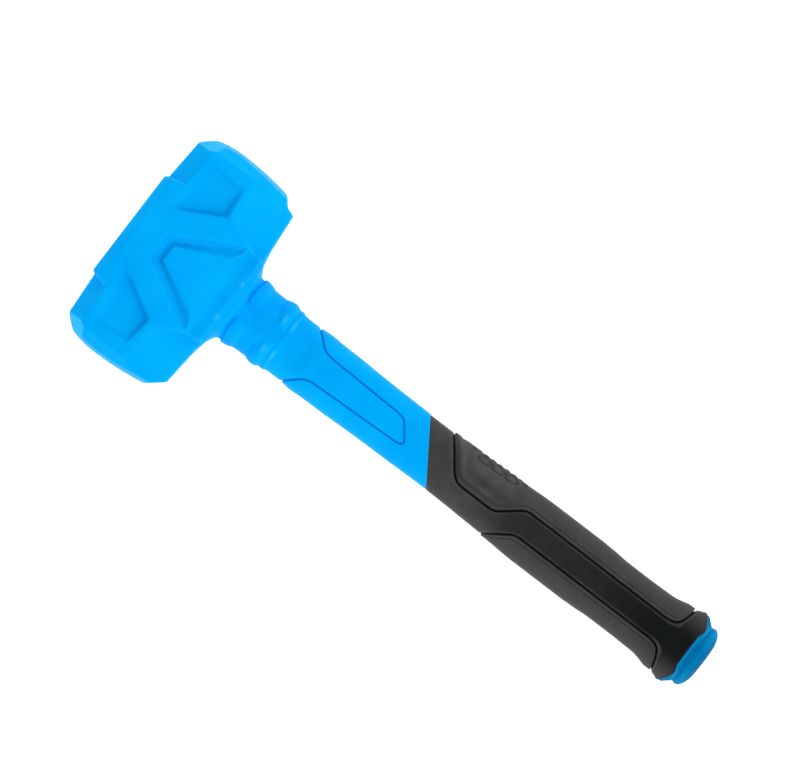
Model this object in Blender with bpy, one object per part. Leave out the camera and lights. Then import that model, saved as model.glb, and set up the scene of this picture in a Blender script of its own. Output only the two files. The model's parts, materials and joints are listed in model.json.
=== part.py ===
# Dead blow hammer: a cast head and handle over a steel canister of loose shot, with a rubber grip.
# The hammer lies on its side. Its handle runs along +X, it strikes along Y, and +Z is up.

import math

import bmesh
import bpy
from mathutils import Vector

MM = 0.001

# Fits
CLEARANCE = 0.3 * MM            # between pieces that are cast, welded or pressed together
CUT_MARGIN = 3.0 * MM           # how far a cutter reaches past the surface that it cuts

OVERALL_LENGTH = 329.5 * MM     # from the top of the head to the butt, along the handle

# Head, from the point where the striking axis crosses the handle axis
HEAD_LENGTH = 112.8 * MM        # from one striking face to the other
HEAD_DEPTH = 56.0 * MM          # from one side face to the other
HEAD_TOP = 26.9 * MM            # crossing to the shoulders on top of the head
HEAD_BOTTOM = 30.4 * MM         # crossing to the underside, where the neck leaves it
SHOULDER_FALL = 1.4 * MM        # shoulders and underside draw in by this towards the faces
TOP_CORNER_HEIGHT = 6.3 * MM    # chamfer between the top and a striking face
TOP_CORNER_LENGTH = 5.8 * MM
BOTTOM_CORNER_HEIGHT = 8.2 * MM
BOTTOM_CORNER_LENGTH = 7.0 * MM
CROWN = 1.8 * MM                # striking land above the rim of its face
LAND_START = 14.0 * MM          # flat land reaches this far above the striking axis
LAND_END = 7.0 * MM             # and this far below it
LAND_DEPTH = 26.0 * MM
RIM_CHAMFER_LENGTH = 5.0 * MM   # chamfer between a side face and a striking face
RIM_CHAMFER_DEPTH = 5.5 * MM
TOP_CHAMFER_HEIGHT = 8.0 * MM   # chamfer between a side face and the top
TOP_CHAMFER_DEPTH = 8.5 * MM
FACET_START = 6.0 * MM          # the side faces slope away towards the handle from here
FACET_FALL = 9.5 * MM           # by this much at the underside
CORNER_CUT_HEIGHT = 20.4 * MM   # flat cut off each upper corner, along the three edges of the block
CORNER_CUT_LENGTH = 13.0 * MM
CORNER_CUT_DEPTH = 21.9 * MM
TOP_BLOCK_LENGTH = 54.4 * MM    # raised block along the middle of the top
TOP_BLOCK_RISE = 1.6 * MM
TOP_BLOCK_CHAMFER = 3.8 * MM
BLOCK_SINK = 0.1 * MM           # raised blocks stay this far under the side faces

# Raised middle of each side face, where the neck runs in
SADDLE_WIDTH = 68.0 * MM        # at the start of the facets
SADDLE_SHOULDER = 59.2 * MM     # where its sides turn in
SADDLE_NOSE = 45.6 * MM         # at its end towards the handle
SADDLE_SHOULDER_AT = 9.6 * MM
SADDLE_NOSE_AT = 21.4 * MM
SADDLE_DRAFT = 2.0 * MM         # its foot is wider by this all round
SADDLE_FALL = 10.0 * MM         # the nose slopes down by this to the neck

# Pockets in the side faces
POCKET_DEPTH = 2.6 * MM
POCKET_WALL = 3.0 * MM          # run of a sloping pocket wall
MID_POCKET_TIP = 8.7 * MM       # middle pocket: crossing to its narrow end, towards the top
MID_POCKET_TIP_WIDTH = 9.2 * MM
MID_POCKET_END = 21.0 * MM      # crossing to its wide end
MID_POCKET_END_WIDTH = 41.0 * MM
END_POCKET_TOP = 14.0 * MM      # end pockets: crossing to the edge near the top
END_POCKET_BOTTOM = 5.9 * MM
END_POCKET_LEAN = 3.2 * MM      # its lower edge leans in by this towards the striking face
END_POCKET_OUTER = 44.7 * MM    # edge near the striking face
END_POCKET_INNER_LOW = 29.6 * MM
END_POCKET_INNER_HIGH = 18.7 * MM
END_POCKET_RUNOUT = 0.3 * MM    # depth at the corner where the pocket runs out

# Canister and shot
CASING_WALL = 5.6 * MM          # casting between the canister and a side face
FACE_PAD = 9.0 * MM             # casting between the canister and a striking land
TUBE_WALL = 2.5 * MM
PLUG_THICKNESS = 5.0 * MM
SHOT_ROWS = 5                   # along the canister, which leaves the shot room to move
SHOT_AROUND = 6                 # balls around the middle one in each row

# Handle core
CORE_DIAMETER = 12.0 * MM

# Handle outline along X: lengths of its stretches and full widths along Y. The shank takes up what is left.
COLLAR_WIDTH = 56.0 * MM        # where the neck leaves the head
COLLAR_DEPTH = 38.0 * MM
COLLAR_LENGTH = 5.2 * MM
FILLET_STEPS = 3
NECK_FRONT_WIDTH = 33.0 * MM
NECK_REAR_WIDTH = 30.4 * MM
NECK_LENGTH = 35.4 * MM
NECK_STEP = 3.0 * MM            # run from the neck up to the shank
SHANK_FRONT_WIDTH = 31.4 * MM
JOINT_WIDTH = 28.6 * MM
JOINT_LEAN = 19.3 * MM          # the joint slants by this across the joint's width
GRIP_RISE_LENGTH = 62.0 * MM
SWELL_WIDTH = 32.4 * MM
SWELL_LENGTH = 23.0 * MM
GRIP_FALL_LENGTH = 28.0 * MM
WAIST_WIDTH = 30.9 * MM
WAIST_LENGTH = 15.0 * MM
FLARE_WIDTH = 38.0 * MM
FLARE_LENGTH = 17.0 * MM
GRIP_END_LENGTH = 4.6 * MM      # behind the widest place
GRIP_END_WIDTH = 37.0 * MM
DEPTH_RATIO = 0.84              # depth of the handle over its width
SECTION_POWER = 2.3             # 2 is an ellipse, more is squarer
SECTION_SIDES = 32

# Neck ribs, on the two edges of the neck only
RIB_SLOT = 8.8 * MM             # smooth strip between them
RIB_LAND = 33.4 * MM            # width over the pad between the ribs
FIRST_RIB_WIDTH = 35.6 * MM
SECOND_RIB_WIDTH = 34.6 * MM
THIRD_RIB_WIDTH = 32.8 * MM
RIB_STEP = 3.4 * MM             # run up to the top of a rib
RIB_LAND_LENGTH = 10.0 * MM
RIB_RISE = 0.8 * MM             # each side, over the depth of the neck
RIB_ROOT = 1.2 * MM             # the ends of the ribs sink into the neck by this

# Tang, hidden in the grip
TANG_WIDTH = 20.4 * MM
TANG_DEPTH = 17.6 * MM

# Grip pads
PAD_THICKNESS = 1.6 * MM
PAD_RISE = 0.35 * MM            # above the sleeve
PAD_GROOVE = 0.9 * MM           # open line around a pad
PAD_SPREAD = 12.0 * MM          # between the two pads
PAD_RAMP = 11.5 * MM            # run of their slanted front ends
PAD_REAR_GAP = 4.4 * MM         # from their rear ends to the widest place of the grip
THUMB_FRONT = 4.2 * MM          # thumb pad starts this far behind the joint, on its edge
THUMB_REST_START = 18.4 * MM    # thumb rest, from the joint
THUMB_REST_LENGTH = 21.8 * MM
THUMB_REST_DROP = 3.6 * MM      # reaches this far past the handle axis
FINGER_FRONT = 42.0 * MM        # finger pad starts this far behind the joint, on its edge
RIDGE_COUNT = 8
RIDGE_PITCH = 4.0 * MM
RIDGE_DEPTH = 0.7 * MM
RIDGE_LENGTH = 10.0 * MM
RIDGE_START = 17.5 * MM         # from the joint

# End cap
EAR_SPREAD = 21.8 * MM          # the cap's two ears start this far apart
EAR_RUN = 3.6 * MM              # and reach forward by this over the edges of the grip
FLANGE_LENGTH = 1.6 * MM        # behind the end of the grip
FLANGE_WIDTH = 30.6 * MM
KNOB_WIDTH = 31.4 * MM
KNOB_LENGTH = 6.8 * MM
KNOB_ROUND = 5.5 * MM           # length of its rounded edge
KNOB_FACE_WIDTH = 18.4 * MM
KNOB_STEPS = 4
SPIGOT_LENGTH = 7.0 * MM

ROUND_SIDES = 40
SMOOTH_ANGLE = math.radians(35)

# Sizes that follow from the ones above
TUBE_OUTER = HEAD_DEPTH / 2 - CASING_WALL - CLEARANCE
TUBE_INNER = TUBE_OUTER - TUBE_WALL
TUBE_HALF = HEAD_LENGTH / 2 - FACE_PAD - CLEARANCE
SHOT_DIAMETER = (2 * TUBE_INNER - 4 * CLEARANCE) / 3     # six around one fill the bore
CORE_BORE = CORE_DIAMETER / 2 + CLEARANCE
WAIST_AT = HEAD_BOTTOM + COLLAR_LENGTH
SHANK_AT = WAIST_AT + NECK_LENGTH
BUTT_AT = OVERALL_LENGTH - HEAD_TOP - TOP_BLOCK_RISE
FLANGE_END = BUTT_AT - KNOB_LENGTH
GRIP_END = FLANGE_END - FLANGE_LENGTH
FLARE_AT = GRIP_END - GRIP_END_LENGTH
WAIST_END = FLARE_AT - FLARE_LENGTH
WAIST_START = WAIST_END - WAIST_LENGTH
SWELL_END = WAIST_START - GRIP_FALL_LENGTH
SWELL_AT = SWELL_END - SWELL_LENGTH
JOINT_AT = SWELL_AT - GRIP_RISE_LENGTH  # joint of the shank and the grip, on the handle axis
JOINT_SLOPE = JOINT_LEAN / JOINT_WIDTH
TANG_END = GRIP_END

BLUE = (0.0, 0.402, 0.96)
BLACK = (0.045, 0.045, 0.043)
DARK = (0.016, 0.017, 0.018)
STEEL = (0.50, 0.51, 0.52)


def clear_scene():
    for old in list(bpy.data.objects):
        bpy.data.objects.remove(old)


def make_material(name, colour, roughness, metallic):
    made = bpy.data.materials.new(name)
    made.use_nodes = True
    shader = made.node_tree.nodes["Principled BSDF"]
    shader.inputs["Base Color"].default_value = (*colour, 1.0)
    shader.inputs["Roughness"].default_value = roughness
    shader.inputs["Metallic"].default_value = metallic
    return made


def add_object(name, shape, parent, finish=None):
    """Put a bmesh into a new object. Without a finish it is a cutter or a tool shape."""
    bmesh.ops.recalc_face_normals(shape, faces=shape.faces)
    mesh = bpy.data.meshes.new(name)
    shape.to_mesh(mesh)
    shape.free()
    made = bpy.data.objects.new(name, mesh)
    made.parent = parent
    bpy.context.collection.objects.link(made)
    if finish is None:
        made.hide_render = True
        made.display_type = "WIRE"
    else:
        mesh.materials.append(finish)
        mesh.shade_smooth()
        mesh.set_sharp_from_angle(angle=SMOOTH_ANGLE)
    return made


def combine(target, tool, operation):
    step = target.modifiers.new(operation.lower() + "_" + tool.name, "BOOLEAN")
    step.operation = operation
    step.solver = "EXACT"
    step.object = tool


def hull(points):
    """Closed convex body around the points."""
    shape = bmesh.new()
    for point in points:
        shape.verts.new(point)
    found = bmesh.ops.convex_hull(shape, input=shape.verts)
    spare = [item for item in found["geom_interior"] if isinstance(item, bmesh.types.BMVert)]
    bmesh.ops.delete(shape, geom=spare, context="VERTS")
    flat = [edge for edge in shape.edges if edge.is_manifold]
    bmesh.ops.dissolve_limit(shape, angle_limit=math.radians(0.5), verts=shape.verts, edges=flat)
    return shape


def prism(outline, half):
    """Outline in the XY plane, extruded along Z from -half to half."""
    shape = bmesh.new()
    corners = [shape.verts.new((x, y, -half)) for x, y in outline]
    base = shape.faces.new(corners)
    grown = bmesh.ops.extrude_face_region(shape, geom=[base])
    moved = [item for item in grown["geom"] if isinstance(item, bmesh.types.BMVert)]
    bmesh.ops.translate(shape, verts=moved, vec=(0, 0, 2 * half))
    return shape


def rod(radius, start, end, sides=ROUND_SIDES):
    """Cylinder from one point to another."""
    axis = Vector(end) - Vector(start)
    shape = bmesh.new()
    bmesh.ops.create_cone(shape, cap_ends=True, segments=sides, radius1=radius, radius2=radius,
                          depth=axis.length)
    turn = Vector((0, 0, 1)).rotation_difference(axis).to_matrix()
    bmesh.ops.rotate(shape, verts=shape.verts, cent=(0, 0, 0), matrix=turn)
    bmesh.ops.translate(shape, verts=shape.verts, vec=(Vector(start) + Vector(end)) / 2)
    return shape


def section(x, width, depth):
    """Points of a rounded section across the handle."""
    points = []
    for step in range(SECTION_SIDES):
        angle = 2 * math.pi * step / SECTION_SIDES
        cosine = math.cos(angle)
        sine = math.sin(angle)
        y = math.copysign(abs(cosine) ** (2 / SECTION_POWER), cosine) * width / 2
        z = math.copysign(abs(sine) ** (2 / SECTION_POWER), sine) * depth / 2
        points.append((x, y, z))
    return points


def loft(stations):
    """Closed body through the sections (x, width, depth)."""
    shape = bmesh.new()
    rings = []
    for x, width, depth in stations:
        rings.append([shape.verts.new(point) for point in section(x, width, depth)])
    for front, rear in zip(rings, rings[1:]):
        for step in range(SECTION_SIDES):
            after = (step + 1) % SECTION_SIDES
            shape.faces.new((front[step], front[after], rear[after], rear[step]))
    shape.faces.new(rings[0])
    shape.faces.new(rings[-1])
    return shape


def slice_off(shape, point, normal):
    """Cut a body at a plane, drop the side the normal points to and close the cut."""
    parts = shape.verts[:] + shape.edges[:] + shape.faces[:]
    cut = bmesh.ops.bisect_plane(shape, geom=parts, plane_co=point, plane_no=normal, clear_outer=True)
    rim = [item for item in cut["geom_cut"] if isinstance(item, bmesh.types.BMEdge)]
    if rim:
        bmesh.ops.edgeloop_fill(shape, edges=rim)


def outline_width(x):
    """Width of the shank and the grip at x, in straight stretches between the named widths."""
    stops = handle_stops()
    for (x0, width0), (x1, width1) in zip(stops, stops[1:]):
        if x <= x1:
            return width0 + (width1 - width0) * (x - x0) / (x1 - x0)
    return stops[-1][1]


def handle_stops():
    return [
        (SHANK_AT, SHANK_FRONT_WIDTH),
        (JOINT_AT, JOINT_WIDTH),
        (SWELL_AT, SWELL_WIDTH),
        (SWELL_END, SWELL_WIDTH),
        (WAIST_START, WAIST_WIDTH),
        (WAIST_END, WAIST_WIDTH),
        (FLARE_AT, FLARE_WIDTH),
        (GRIP_END, GRIP_END_WIDTH),
    ]


def handle_stations(rise=0.0):
    """Sections of the shank and the grip, raised by an even amount all round."""
    return [(x, width + 2 * rise, width * DEPTH_RATIO + 2 * rise) for x, width in handle_stops()]


def head_body():
    """Block with a chamfer or a facet on every edge, cut plane by plane."""
    half_length = HEAD_LENGTH / 2
    half_depth = HEAD_DEPTH / 2
    shape = bmesh.new()
    bmesh.ops.create_cube(shape, size=2.0)
    bmesh.ops.scale(shape, verts=shape.verts, vec=((HEAD_TOP + HEAD_BOTTOM) / 2, half_length, half_depth))
    bmesh.ops.translate(shape, verts=shape.verts, vec=((HEAD_BOTTOM - HEAD_TOP) / 2, 0, 0))

    rim = half_length - CROWN
    shoulder = rim - TOP_CORNER_LENGTH
    heel = rim - BOTTOM_CORNER_LENGTH
    block_half = TOP_BLOCK_LENGTH / 2
    shoulder_x = -HEAD_TOP + SHOULDER_FALL
    heel_x = HEAD_BOTTOM - SHOULDER_FALL
    rim_top_x = shoulder_x + TOP_CORNER_HEIGHT
    rim_low_x = heel_x - BOTTOM_CORNER_HEIGHT

    # Outline seen from the side: pairs of points that each plane passes through
    side_planes = [
        ((-HEAD_TOP, block_half), (shoulder_x, shoulder)),
        ((shoulder_x, shoulder), (rim_top_x, rim)),
        ((rim_top_x, rim), (-LAND_START, half_length)),
        ((LAND_END, half_length), (rim_low_x, rim)),
        ((rim_low_x, rim), (heel_x, heel)),
        ((heel_x, heel), (HEAD_BOTTOM, block_half)),
    ]
    for (x0, y0), (x1, y1) in side_planes:
        for side in (1, -1):
            slice_off(shape, (x0, side * y0, 0), (y0 - y1, side * (x1 - x0), 0))

    chamfer_z = half_depth - TOP_CHAMFER_DEPTH
    facet_slope = FACET_FALL / (HEAD_BOTTOM - FACET_START)
    for side in (1, -1):
        slice_off(shape, (-HEAD_TOP, 0, side * chamfer_z), (-TOP_CHAMFER_DEPTH, 0, side * TOP_CHAMFER_HEIGHT))
        slice_off(shape, (FACET_START, 0, side * half_depth), (facet_slope, 0, side))

    rim_z = half_depth - RIM_CHAMFER_DEPTH
    land_z = LAND_DEPTH / 2
    corner_normal = Vector((-1 / CORNER_CUT_HEIGHT, 1 / CORNER_CUT_LENGTH, 1 / CORNER_CUT_DEPTH))
    corner_point = Vector((-HEAD_TOP + CORNER_CUT_HEIGHT, half_length, half_depth))
    for side_y in (1, -1):
        for side_z in (1, -1):
            flip = Vector((1, side_y, side_z))
            rim_normal = (0, side_y * RIM_CHAMFER_DEPTH, side_z * RIM_CHAMFER_LENGTH)
            crown_normal = (0, side_y * (rim_z - land_z), side_z * CROWN)
            slice_off(shape, (0, side_y * rim, side_z * rim_z), rim_normal)
            slice_off(shape, (0, side_y * half_length, side_z * land_z), crown_normal)
            slice_off(shape, corner_point * flip, corner_normal * flip)
    return shape


def top_block():
    half_depth = HEAD_DEPTH / 2 - BLOCK_SINK
    top = -HEAD_TOP - TOP_BLOCK_RISE
    points = []
    for y in (-TOP_BLOCK_LENGTH / 2, TOP_BLOCK_LENGTH / 2):
        for side in (1, -1):
            points.append((top, y, side * (half_depth - TOP_BLOCK_CHAMFER)))
            points.append((top + TOP_BLOCK_CHAMFER, y, side * half_depth))
            points.append((0, y, side * half_depth))
    return hull(points)


def saddle_block():
    """Middle of the side faces, with drafted sides and a nose that slopes to the neck."""
    top = HEAD_DEPTH / 2 - BLOCK_SINK
    foot = top - SADDLE_FALL
    outline = [
        (0, SADDLE_WIDTH / 2),
        (FACET_START, SADDLE_WIDTH / 2),
        (SADDLE_SHOULDER_AT, SADDLE_SHOULDER / 2),
        (SADDLE_NOSE_AT, SADDLE_NOSE / 2),
    ]
    points = []
    for side_y in (1, -1):
        for side_z in (1, -1):
            for x, y in outline:
                points.append((x, side_y * y, side_z * top))
                points.append((x, side_y * (y + SADDLE_DRAFT), side_z * foot))
            points.append((HEAD_BOTTOM, side_y * SADDLE_NOSE / 2, side_z * foot))
    return hull(points)


def pocket(outline, depths):
    """Cutter for one pocket in the upper side face, with a floor at the given depths."""
    face = HEAD_DEPTH / 2
    centre = Vector((sum(x for x, y in outline), sum(y for x, y in outline))) / len(outline)
    points = []
    for (x, y), depth in zip(outline, depths):
        inward = (centre - Vector((x, y))).normalized() * POCKET_WALL * depth / max(depths)
        points.append((x, y, face))
        points.append((x, y, face + CUT_MARGIN))
        points.append((x + inward.x, y + inward.y, face - depth))
    return hull(points)


def mirrored(shape, flip):
    """Mirror a body through the axes whose sign in flip is -1."""
    bmesh.ops.scale(shape, verts=shape.verts, vec=flip)
    return shape


def cut_pockets(casing, root):
    half_tip = MID_POCKET_TIP_WIDTH / 2
    half_end = MID_POCKET_END_WIDTH / 2
    middle = [
        (-MID_POCKET_TIP, -half_tip),
        (-MID_POCKET_TIP, half_tip),
        (MID_POCKET_END, half_end),
        (MID_POCKET_END, -half_end),
    ]
    end = [
        (-END_POCKET_TOP, END_POCKET_OUTER),
        (END_POCKET_BOTTOM - END_POCKET_LEAN, END_POCKET_OUTER),
        (END_POCKET_BOTTOM, END_POCKET_INNER_LOW),
        (-END_POCKET_TOP, END_POCKET_INNER_HIGH),
    ]
    half_deep = (POCKET_DEPTH + END_POCKET_RUNOUT) / 2
    end_depths = [END_POCKET_RUNOUT, half_deep, POCKET_DEPTH, half_deep]
    for face, side_z in (("front", 1), ("back", -1)):
        cutter = mirrored(pocket(middle, [POCKET_DEPTH] * len(middle)), (1, 1, side_z))
        combine(casing, add_object("middle_pocket_" + face, cutter, root), "DIFFERENCE")
        for end_name, side_y in (("right", 1), ("left", -1)):
            cutter = mirrored(pocket(end, end_depths), (1, side_y, side_z))
            name = "end_pocket_" + face + "_" + end_name
            combine(casing, add_object(name, cutter, root), "DIFFERENCE")


def neck_and_shank():
    """Filleted neck and plain shank, cut off at the slanted joint with the grip."""
    front_depth = NECK_FRONT_WIDTH * DEPTH_RATIO
    stations = [(FACET_START, COLLAR_WIDTH, COLLAR_DEPTH)]
    for step in range(FILLET_STEPS + 1):
        angle = math.pi / 2 * step / FILLET_STEPS
        spread = 1 - math.sin(angle)
        x = HEAD_BOTTOM + COLLAR_LENGTH * (1 - math.cos(angle))
        width = NECK_FRONT_WIDTH + (COLLAR_WIDTH - NECK_FRONT_WIDTH) * spread
        depth = front_depth + (COLLAR_DEPTH - front_depth) * spread
        stations.append((x, width, depth))
    stations.append((SHANK_AT - NECK_STEP, NECK_REAR_WIDTH, NECK_REAR_WIDTH * DEPTH_RATIO))
    stations += handle_stations()[:3]
    shape = loft(stations)
    slice_off(shape, (JOINT_AT, 0, 0), (1, JOINT_SLOPE, 0))
    return shape


def neck_ribs():
    """Raised pads and ribs along both edges of the neck."""
    profile = [
        (0, NECK_FRONT_WIDTH - 2 * RIB_ROOT, 0),
        (RIB_STEP, FIRST_RIB_WIDTH, RIB_RISE),
        (RIB_STEP, RIB_LAND, RIB_RISE),
        (RIB_LAND_LENGTH, RIB_LAND, RIB_RISE),
        (RIB_STEP, SECOND_RIB_WIDTH, RIB_RISE),
        (RIB_STEP, THIRD_RIB_WIDTH, RIB_RISE),
        (RIB_STEP / 2, THIRD_RIB_WIDTH, RIB_RISE),
        (RIB_STEP, NECK_REAR_WIDTH - 2 * RIB_ROOT, 0),
    ]
    x = WAIST_AT
    stations = []
    for run, width, rise in profile:
        x += run
        stations.append((x, width, width * DEPTH_RATIO + 2 * rise))
    return loft(stations)


def make_casing(root, finish):
    casing = add_object("casing", head_body(), root, finish)
    slot_front = WAIST_AT - CUT_MARGIN
    half_slot = RIB_SLOT / 2
    slot = prism([(slot_front, -half_slot), (SHANK_AT, -half_slot), (SHANK_AT, half_slot),
                  (slot_front, half_slot)], HEAD_DEPTH)
    ribs = add_object("neck_ribs", neck_ribs(), root)
    combine(ribs, add_object("rib_slot", slot, root), "DIFFERENCE")
    tang = loft([(SHANK_AT, TANG_WIDTH, TANG_DEPTH), (TANG_END, TANG_WIDTH, TANG_DEPTH)])
    combine(casing, add_object("top_block", top_block(), root), "UNION")
    combine(casing, add_object("saddle_block", saddle_block(), root), "UNION")
    combine(casing, add_object("neck_and_shank", neck_and_shank(), root), "UNION")
    combine(casing, ribs, "UNION")
    combine(casing, add_object("tang", tang, root), "UNION")
    cut_pockets(casing, root)
    reach = TUBE_HALF + CLEARANCE
    hollow = rod(TUBE_OUTER + CLEARANCE, (0, -reach, 0), (0, reach, 0))
    bore = rod(CORE_BORE, (0, 0, 0), (TANG_END + CUT_MARGIN, 0, 0))
    combine(casing, add_object("canister_hollow", hollow, root), "DIFFERENCE")
    combine(casing, add_object("core_bore", bore, root), "DIFFERENCE")


def make_canister(root, finish):
    tube = add_object("canister_tube", rod(TUBE_OUTER, (0, -TUBE_HALF, 0), (0, TUBE_HALF, 0)), root, finish)
    reach = TUBE_HALF + CUT_MARGIN
    bore = add_object("tube_bore", rod(TUBE_INNER, (0, -reach, 0), (0, reach, 0)), root)
    combine(tube, bore, "DIFFERENCE")
    inner = TUBE_HALF - PLUG_THICKNESS
    radius = TUBE_INNER - CLEARANCE
    for name, side in (("canister_plug_left", -1), ("canister_plug_right", 1)):
        add_object(name, rod(radius, (0, side * inner, 0), (0, side * TUBE_HALF, 0)), root, finish)


def make_shot(root, finish):
    """Loose balls in rows of seven, on one slide along the striking axis."""
    charge = bpy.data.objects.new("shot_charge", None)
    charge.parent = root
    bpy.context.collection.objects.link(charge)
    pitch = SHOT_DIAMETER + CLEARANCE
    room = 2 * (TUBE_HALF - PLUG_THICKNESS)
    travel = (room - SHOT_ROWS * pitch) / 2
    print("the shot is free to move each way by", round(travel / MM, 2), "mm")
    places = [(0.0, 0.0)]
    for step in range(SHOT_AROUND):
        angle = 2 * math.pi * step / SHOT_AROUND
        places.append((pitch * math.cos(angle), pitch * math.sin(angle)))
    shape = bmesh.new()
    bmesh.ops.create_icosphere(shape, subdivisions=2, radius=SHOT_DIAMETER / 2)
    first = None
    for row in range(SHOT_ROWS):
        y = (row - (SHOT_ROWS - 1) / 2) * pitch
        for place, (x, z) in enumerate(places):
            name = "shot_{:02d}".format(row * len(places) + place + 1)
            if first is None:
                first = add_object(name, shape, charge, finish)
                ball = first
            else:
                ball = bpy.data.objects.new(name, first.data)
                ball.parent = charge
                bpy.context.collection.objects.link(ball)
            ball.location = (x, y, z)


def make_core(root, finish):
    rear = TANG_END - SPIGOT_LENGTH - CLEARANCE
    core = add_object("handle_core", rod(CORE_DIAMETER / 2, (0, 0, 0), (rear, 0, 0)), root, finish)
    saddle = rod(TUBE_OUTER + CLEARANCE, (0, -TUBE_HALF, 0), (0, TUBE_HALF, 0))
    combine(core, add_object("core_saddle", saddle, root), "DIFFERENCE")


def trim_rear(shape, gap):
    """Cut a body at the end of the grip: square in the middle, drawn forward at the two edges."""
    ear_width = (GRIP_END_WIDTH - EAR_SPREAD) / 2
    slice_off(shape, (GRIP_END + gap, 0, 0), (1, 0, 0))
    for edge in (1, -1):
        slice_off(shape, (GRIP_END + gap, edge * EAR_SPREAD / 2, 0), (ear_width, edge * EAR_RUN, 0))


def pad_outlines():
    """Outlines of the thumb pad and the finger pad, seen from the side and open past the edge."""
    outside = FLARE_WIDTH
    half_gap = PAD_SPREAD / 2
    rear = FLARE_AT - PAD_REAR_GAP
    rest_start = JOINT_AT + THUMB_REST_START
    rest_end = rest_start + THUMB_REST_LENGTH
    front_slope = (THUMB_REST_START - THUMB_FRONT) / (JOINT_WIDTH / 2 + THUMB_REST_DROP)
    ramp_slope = PAD_RAMP / (half_gap + THUMB_REST_DROP)
    finger_start = JOINT_AT + FINGER_FRONT
    rear_round = (FLARE_WIDTH - PAD_SPREAD) / 4
    thumb = [
        (rest_start - front_slope * (outside + THUMB_REST_DROP), outside),
        (rest_start, -THUMB_REST_DROP),
        (rest_end, -THUMB_REST_DROP),
        (rest_end + PAD_RAMP, half_gap),
        (rear - rear_round, half_gap),
        (rear - rear_round / 4, half_gap + rear_round),
        (rear, outside),
    ]
    edge = outline_width(finger_start) / 2
    finger = [
        (finger_start - ramp_slope * (outside - edge), -outside),
        (finger_start + ramp_slope * (edge - half_gap), -half_gap),
        (rear - rear_round, -half_gap),
        (rear - rear_round / 4, -half_gap - rear_round),
        (rear, -outside),
    ]
    return thumb, finger


def grown(outline, amount):
    """Outline moved outwards by an even amount, with mitred corners."""
    turn = 0.0
    for (x0, y0), (x1, y1) in zip(outline, outline[1:] + outline[:1]):
        turn += x0 * y1 - x1 * y0
    side = math.copysign(1.0, turn)
    moved = []
    for before, here, after in zip(outline[-1:] + outline[:-1], outline, outline[1:] + outline[:1]):
        into = (Vector(here) - Vector(before)).normalized()
        away = (Vector(after) - Vector(here)).normalized()
        normal_in = Vector((into.y, -into.x)) * side
        normal_out = Vector((away.y, -away.x)) * side
        mitre = (normal_in + normal_out) / (1 + normal_in.dot(normal_out))
        moved.append(tuple(Vector(here) + mitre * amount))
    return moved


def pad_shell(name, outline, rise, depth, root, finish=None):
    """Layer of the grip inside an outline, from depth below its surface to rise above it."""
    layer = add_object(name, loft(handle_stations(rise)), root, finish)
    combine(layer, add_object(name + "_outline", prism(outline, HEAD_DEPTH), root), "INTERSECT")
    combine(layer, add_object(name + "_floor", loft(handle_stations(-depth)), root), "DIFFERENCE")
    return layer


def thumb_ridges():
    """Row of notches across the edge of the thumb pad, which leaves ridges between them."""
    shape = bmesh.new()
    half = RIDGE_PITCH / 3
    for step in range(RIDGE_COUNT):
        x = JOINT_AT + RIDGE_START + step * RIDGE_PITCH
        top = outline_width(x) / 2 + PAD_RISE
        points = [(x, top - RIDGE_DEPTH), (x - half, top + RIDGE_DEPTH), (x + half, top + RIDGE_DEPTH)]
        notch = prism(points, RIDGE_LENGTH / 2)
        mesh = bpy.data.meshes.new("notch")
        notch.to_mesh(mesh)
        notch.free()
        shape.from_mesh(mesh)
        bpy.data.meshes.remove(mesh)
    return shape


def make_grip(root, sleeve_finish, pad_finish):
    sleeve_start = JOINT_AT + CLEARANCE * math.hypot(1, JOINT_SLOPE)
    body = loft(handle_stations())
    slice_off(body, (sleeve_start, 0, 0), (-1, -JOINT_SLOPE, 0))
    trim_rear(body, 0.0)
    sleeve = add_object("grip_sleeve", body, root, sleeve_finish)
    room_width = TANG_WIDTH + 2 * CLEARANCE
    room_depth = TANG_DEPTH + 2 * CLEARANCE
    room = loft([(SHANK_AT, room_width, room_depth), (GRIP_END + CUT_MARGIN, room_width, room_depth)])
    combine(sleeve, add_object("tang_room", room, root), "DIFFERENCE")
    thumb, finger = pad_outlines()
    for name, outline in (("thumb_pad", thumb), ("finger_pad", finger)):
        pocket_shape = pad_shell(name + "_pocket", grown(outline, PAD_GROOVE), CUT_MARGIN,
                                 PAD_THICKNESS + CLEARANCE, root)
        combine(sleeve, pocket_shape, "DIFFERENCE")
        pad = pad_shell(name, outline, PAD_RISE, PAD_THICKNESS, root, pad_finish)
        if name == "thumb_pad":
            combine(pad, add_object("thumb_notches", thumb_ridges(), root), "DIFFERENCE")


def make_end_cap(root, finish):
    profile = [
        (FLARE_AT, FLARE_WIDTH),
        (GRIP_END, GRIP_END_WIDTH),
        (FLANGE_END, FLANGE_WIDTH),
    ]
    for step in range(KNOB_STEPS + 1):
        angle = math.pi / 2 * step / KNOB_STEPS
        x = BUTT_AT - KNOB_ROUND * (1 - math.sin(angle))
        profile.append((x, KNOB_FACE_WIDTH + (KNOB_WIDTH - KNOB_FACE_WIDTH) * math.cos(angle)))
    body = loft([(x, width, width * DEPTH_RATIO) for x, width in profile])
    cap = add_object("end_cap", body, root, finish)
    room_width = FLARE_WIDTH + 2 * CUT_MARGIN
    grip_room = loft([(JOINT_AT, room_width, room_width), (GRIP_END + CUT_MARGIN, room_width, room_width)])
    trim_rear(grip_room, CLEARANCE)
    combine(cap, add_object("grip_room", grip_room, root), "DIFFERENCE")
    spigot = rod(CORE_DIAMETER / 2, (TANG_END - SPIGOT_LENGTH, 0, 0), (FLANGE_END, 0, 0))
    combine(cap, add_object("spigot", spigot, root), "UNION")


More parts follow.
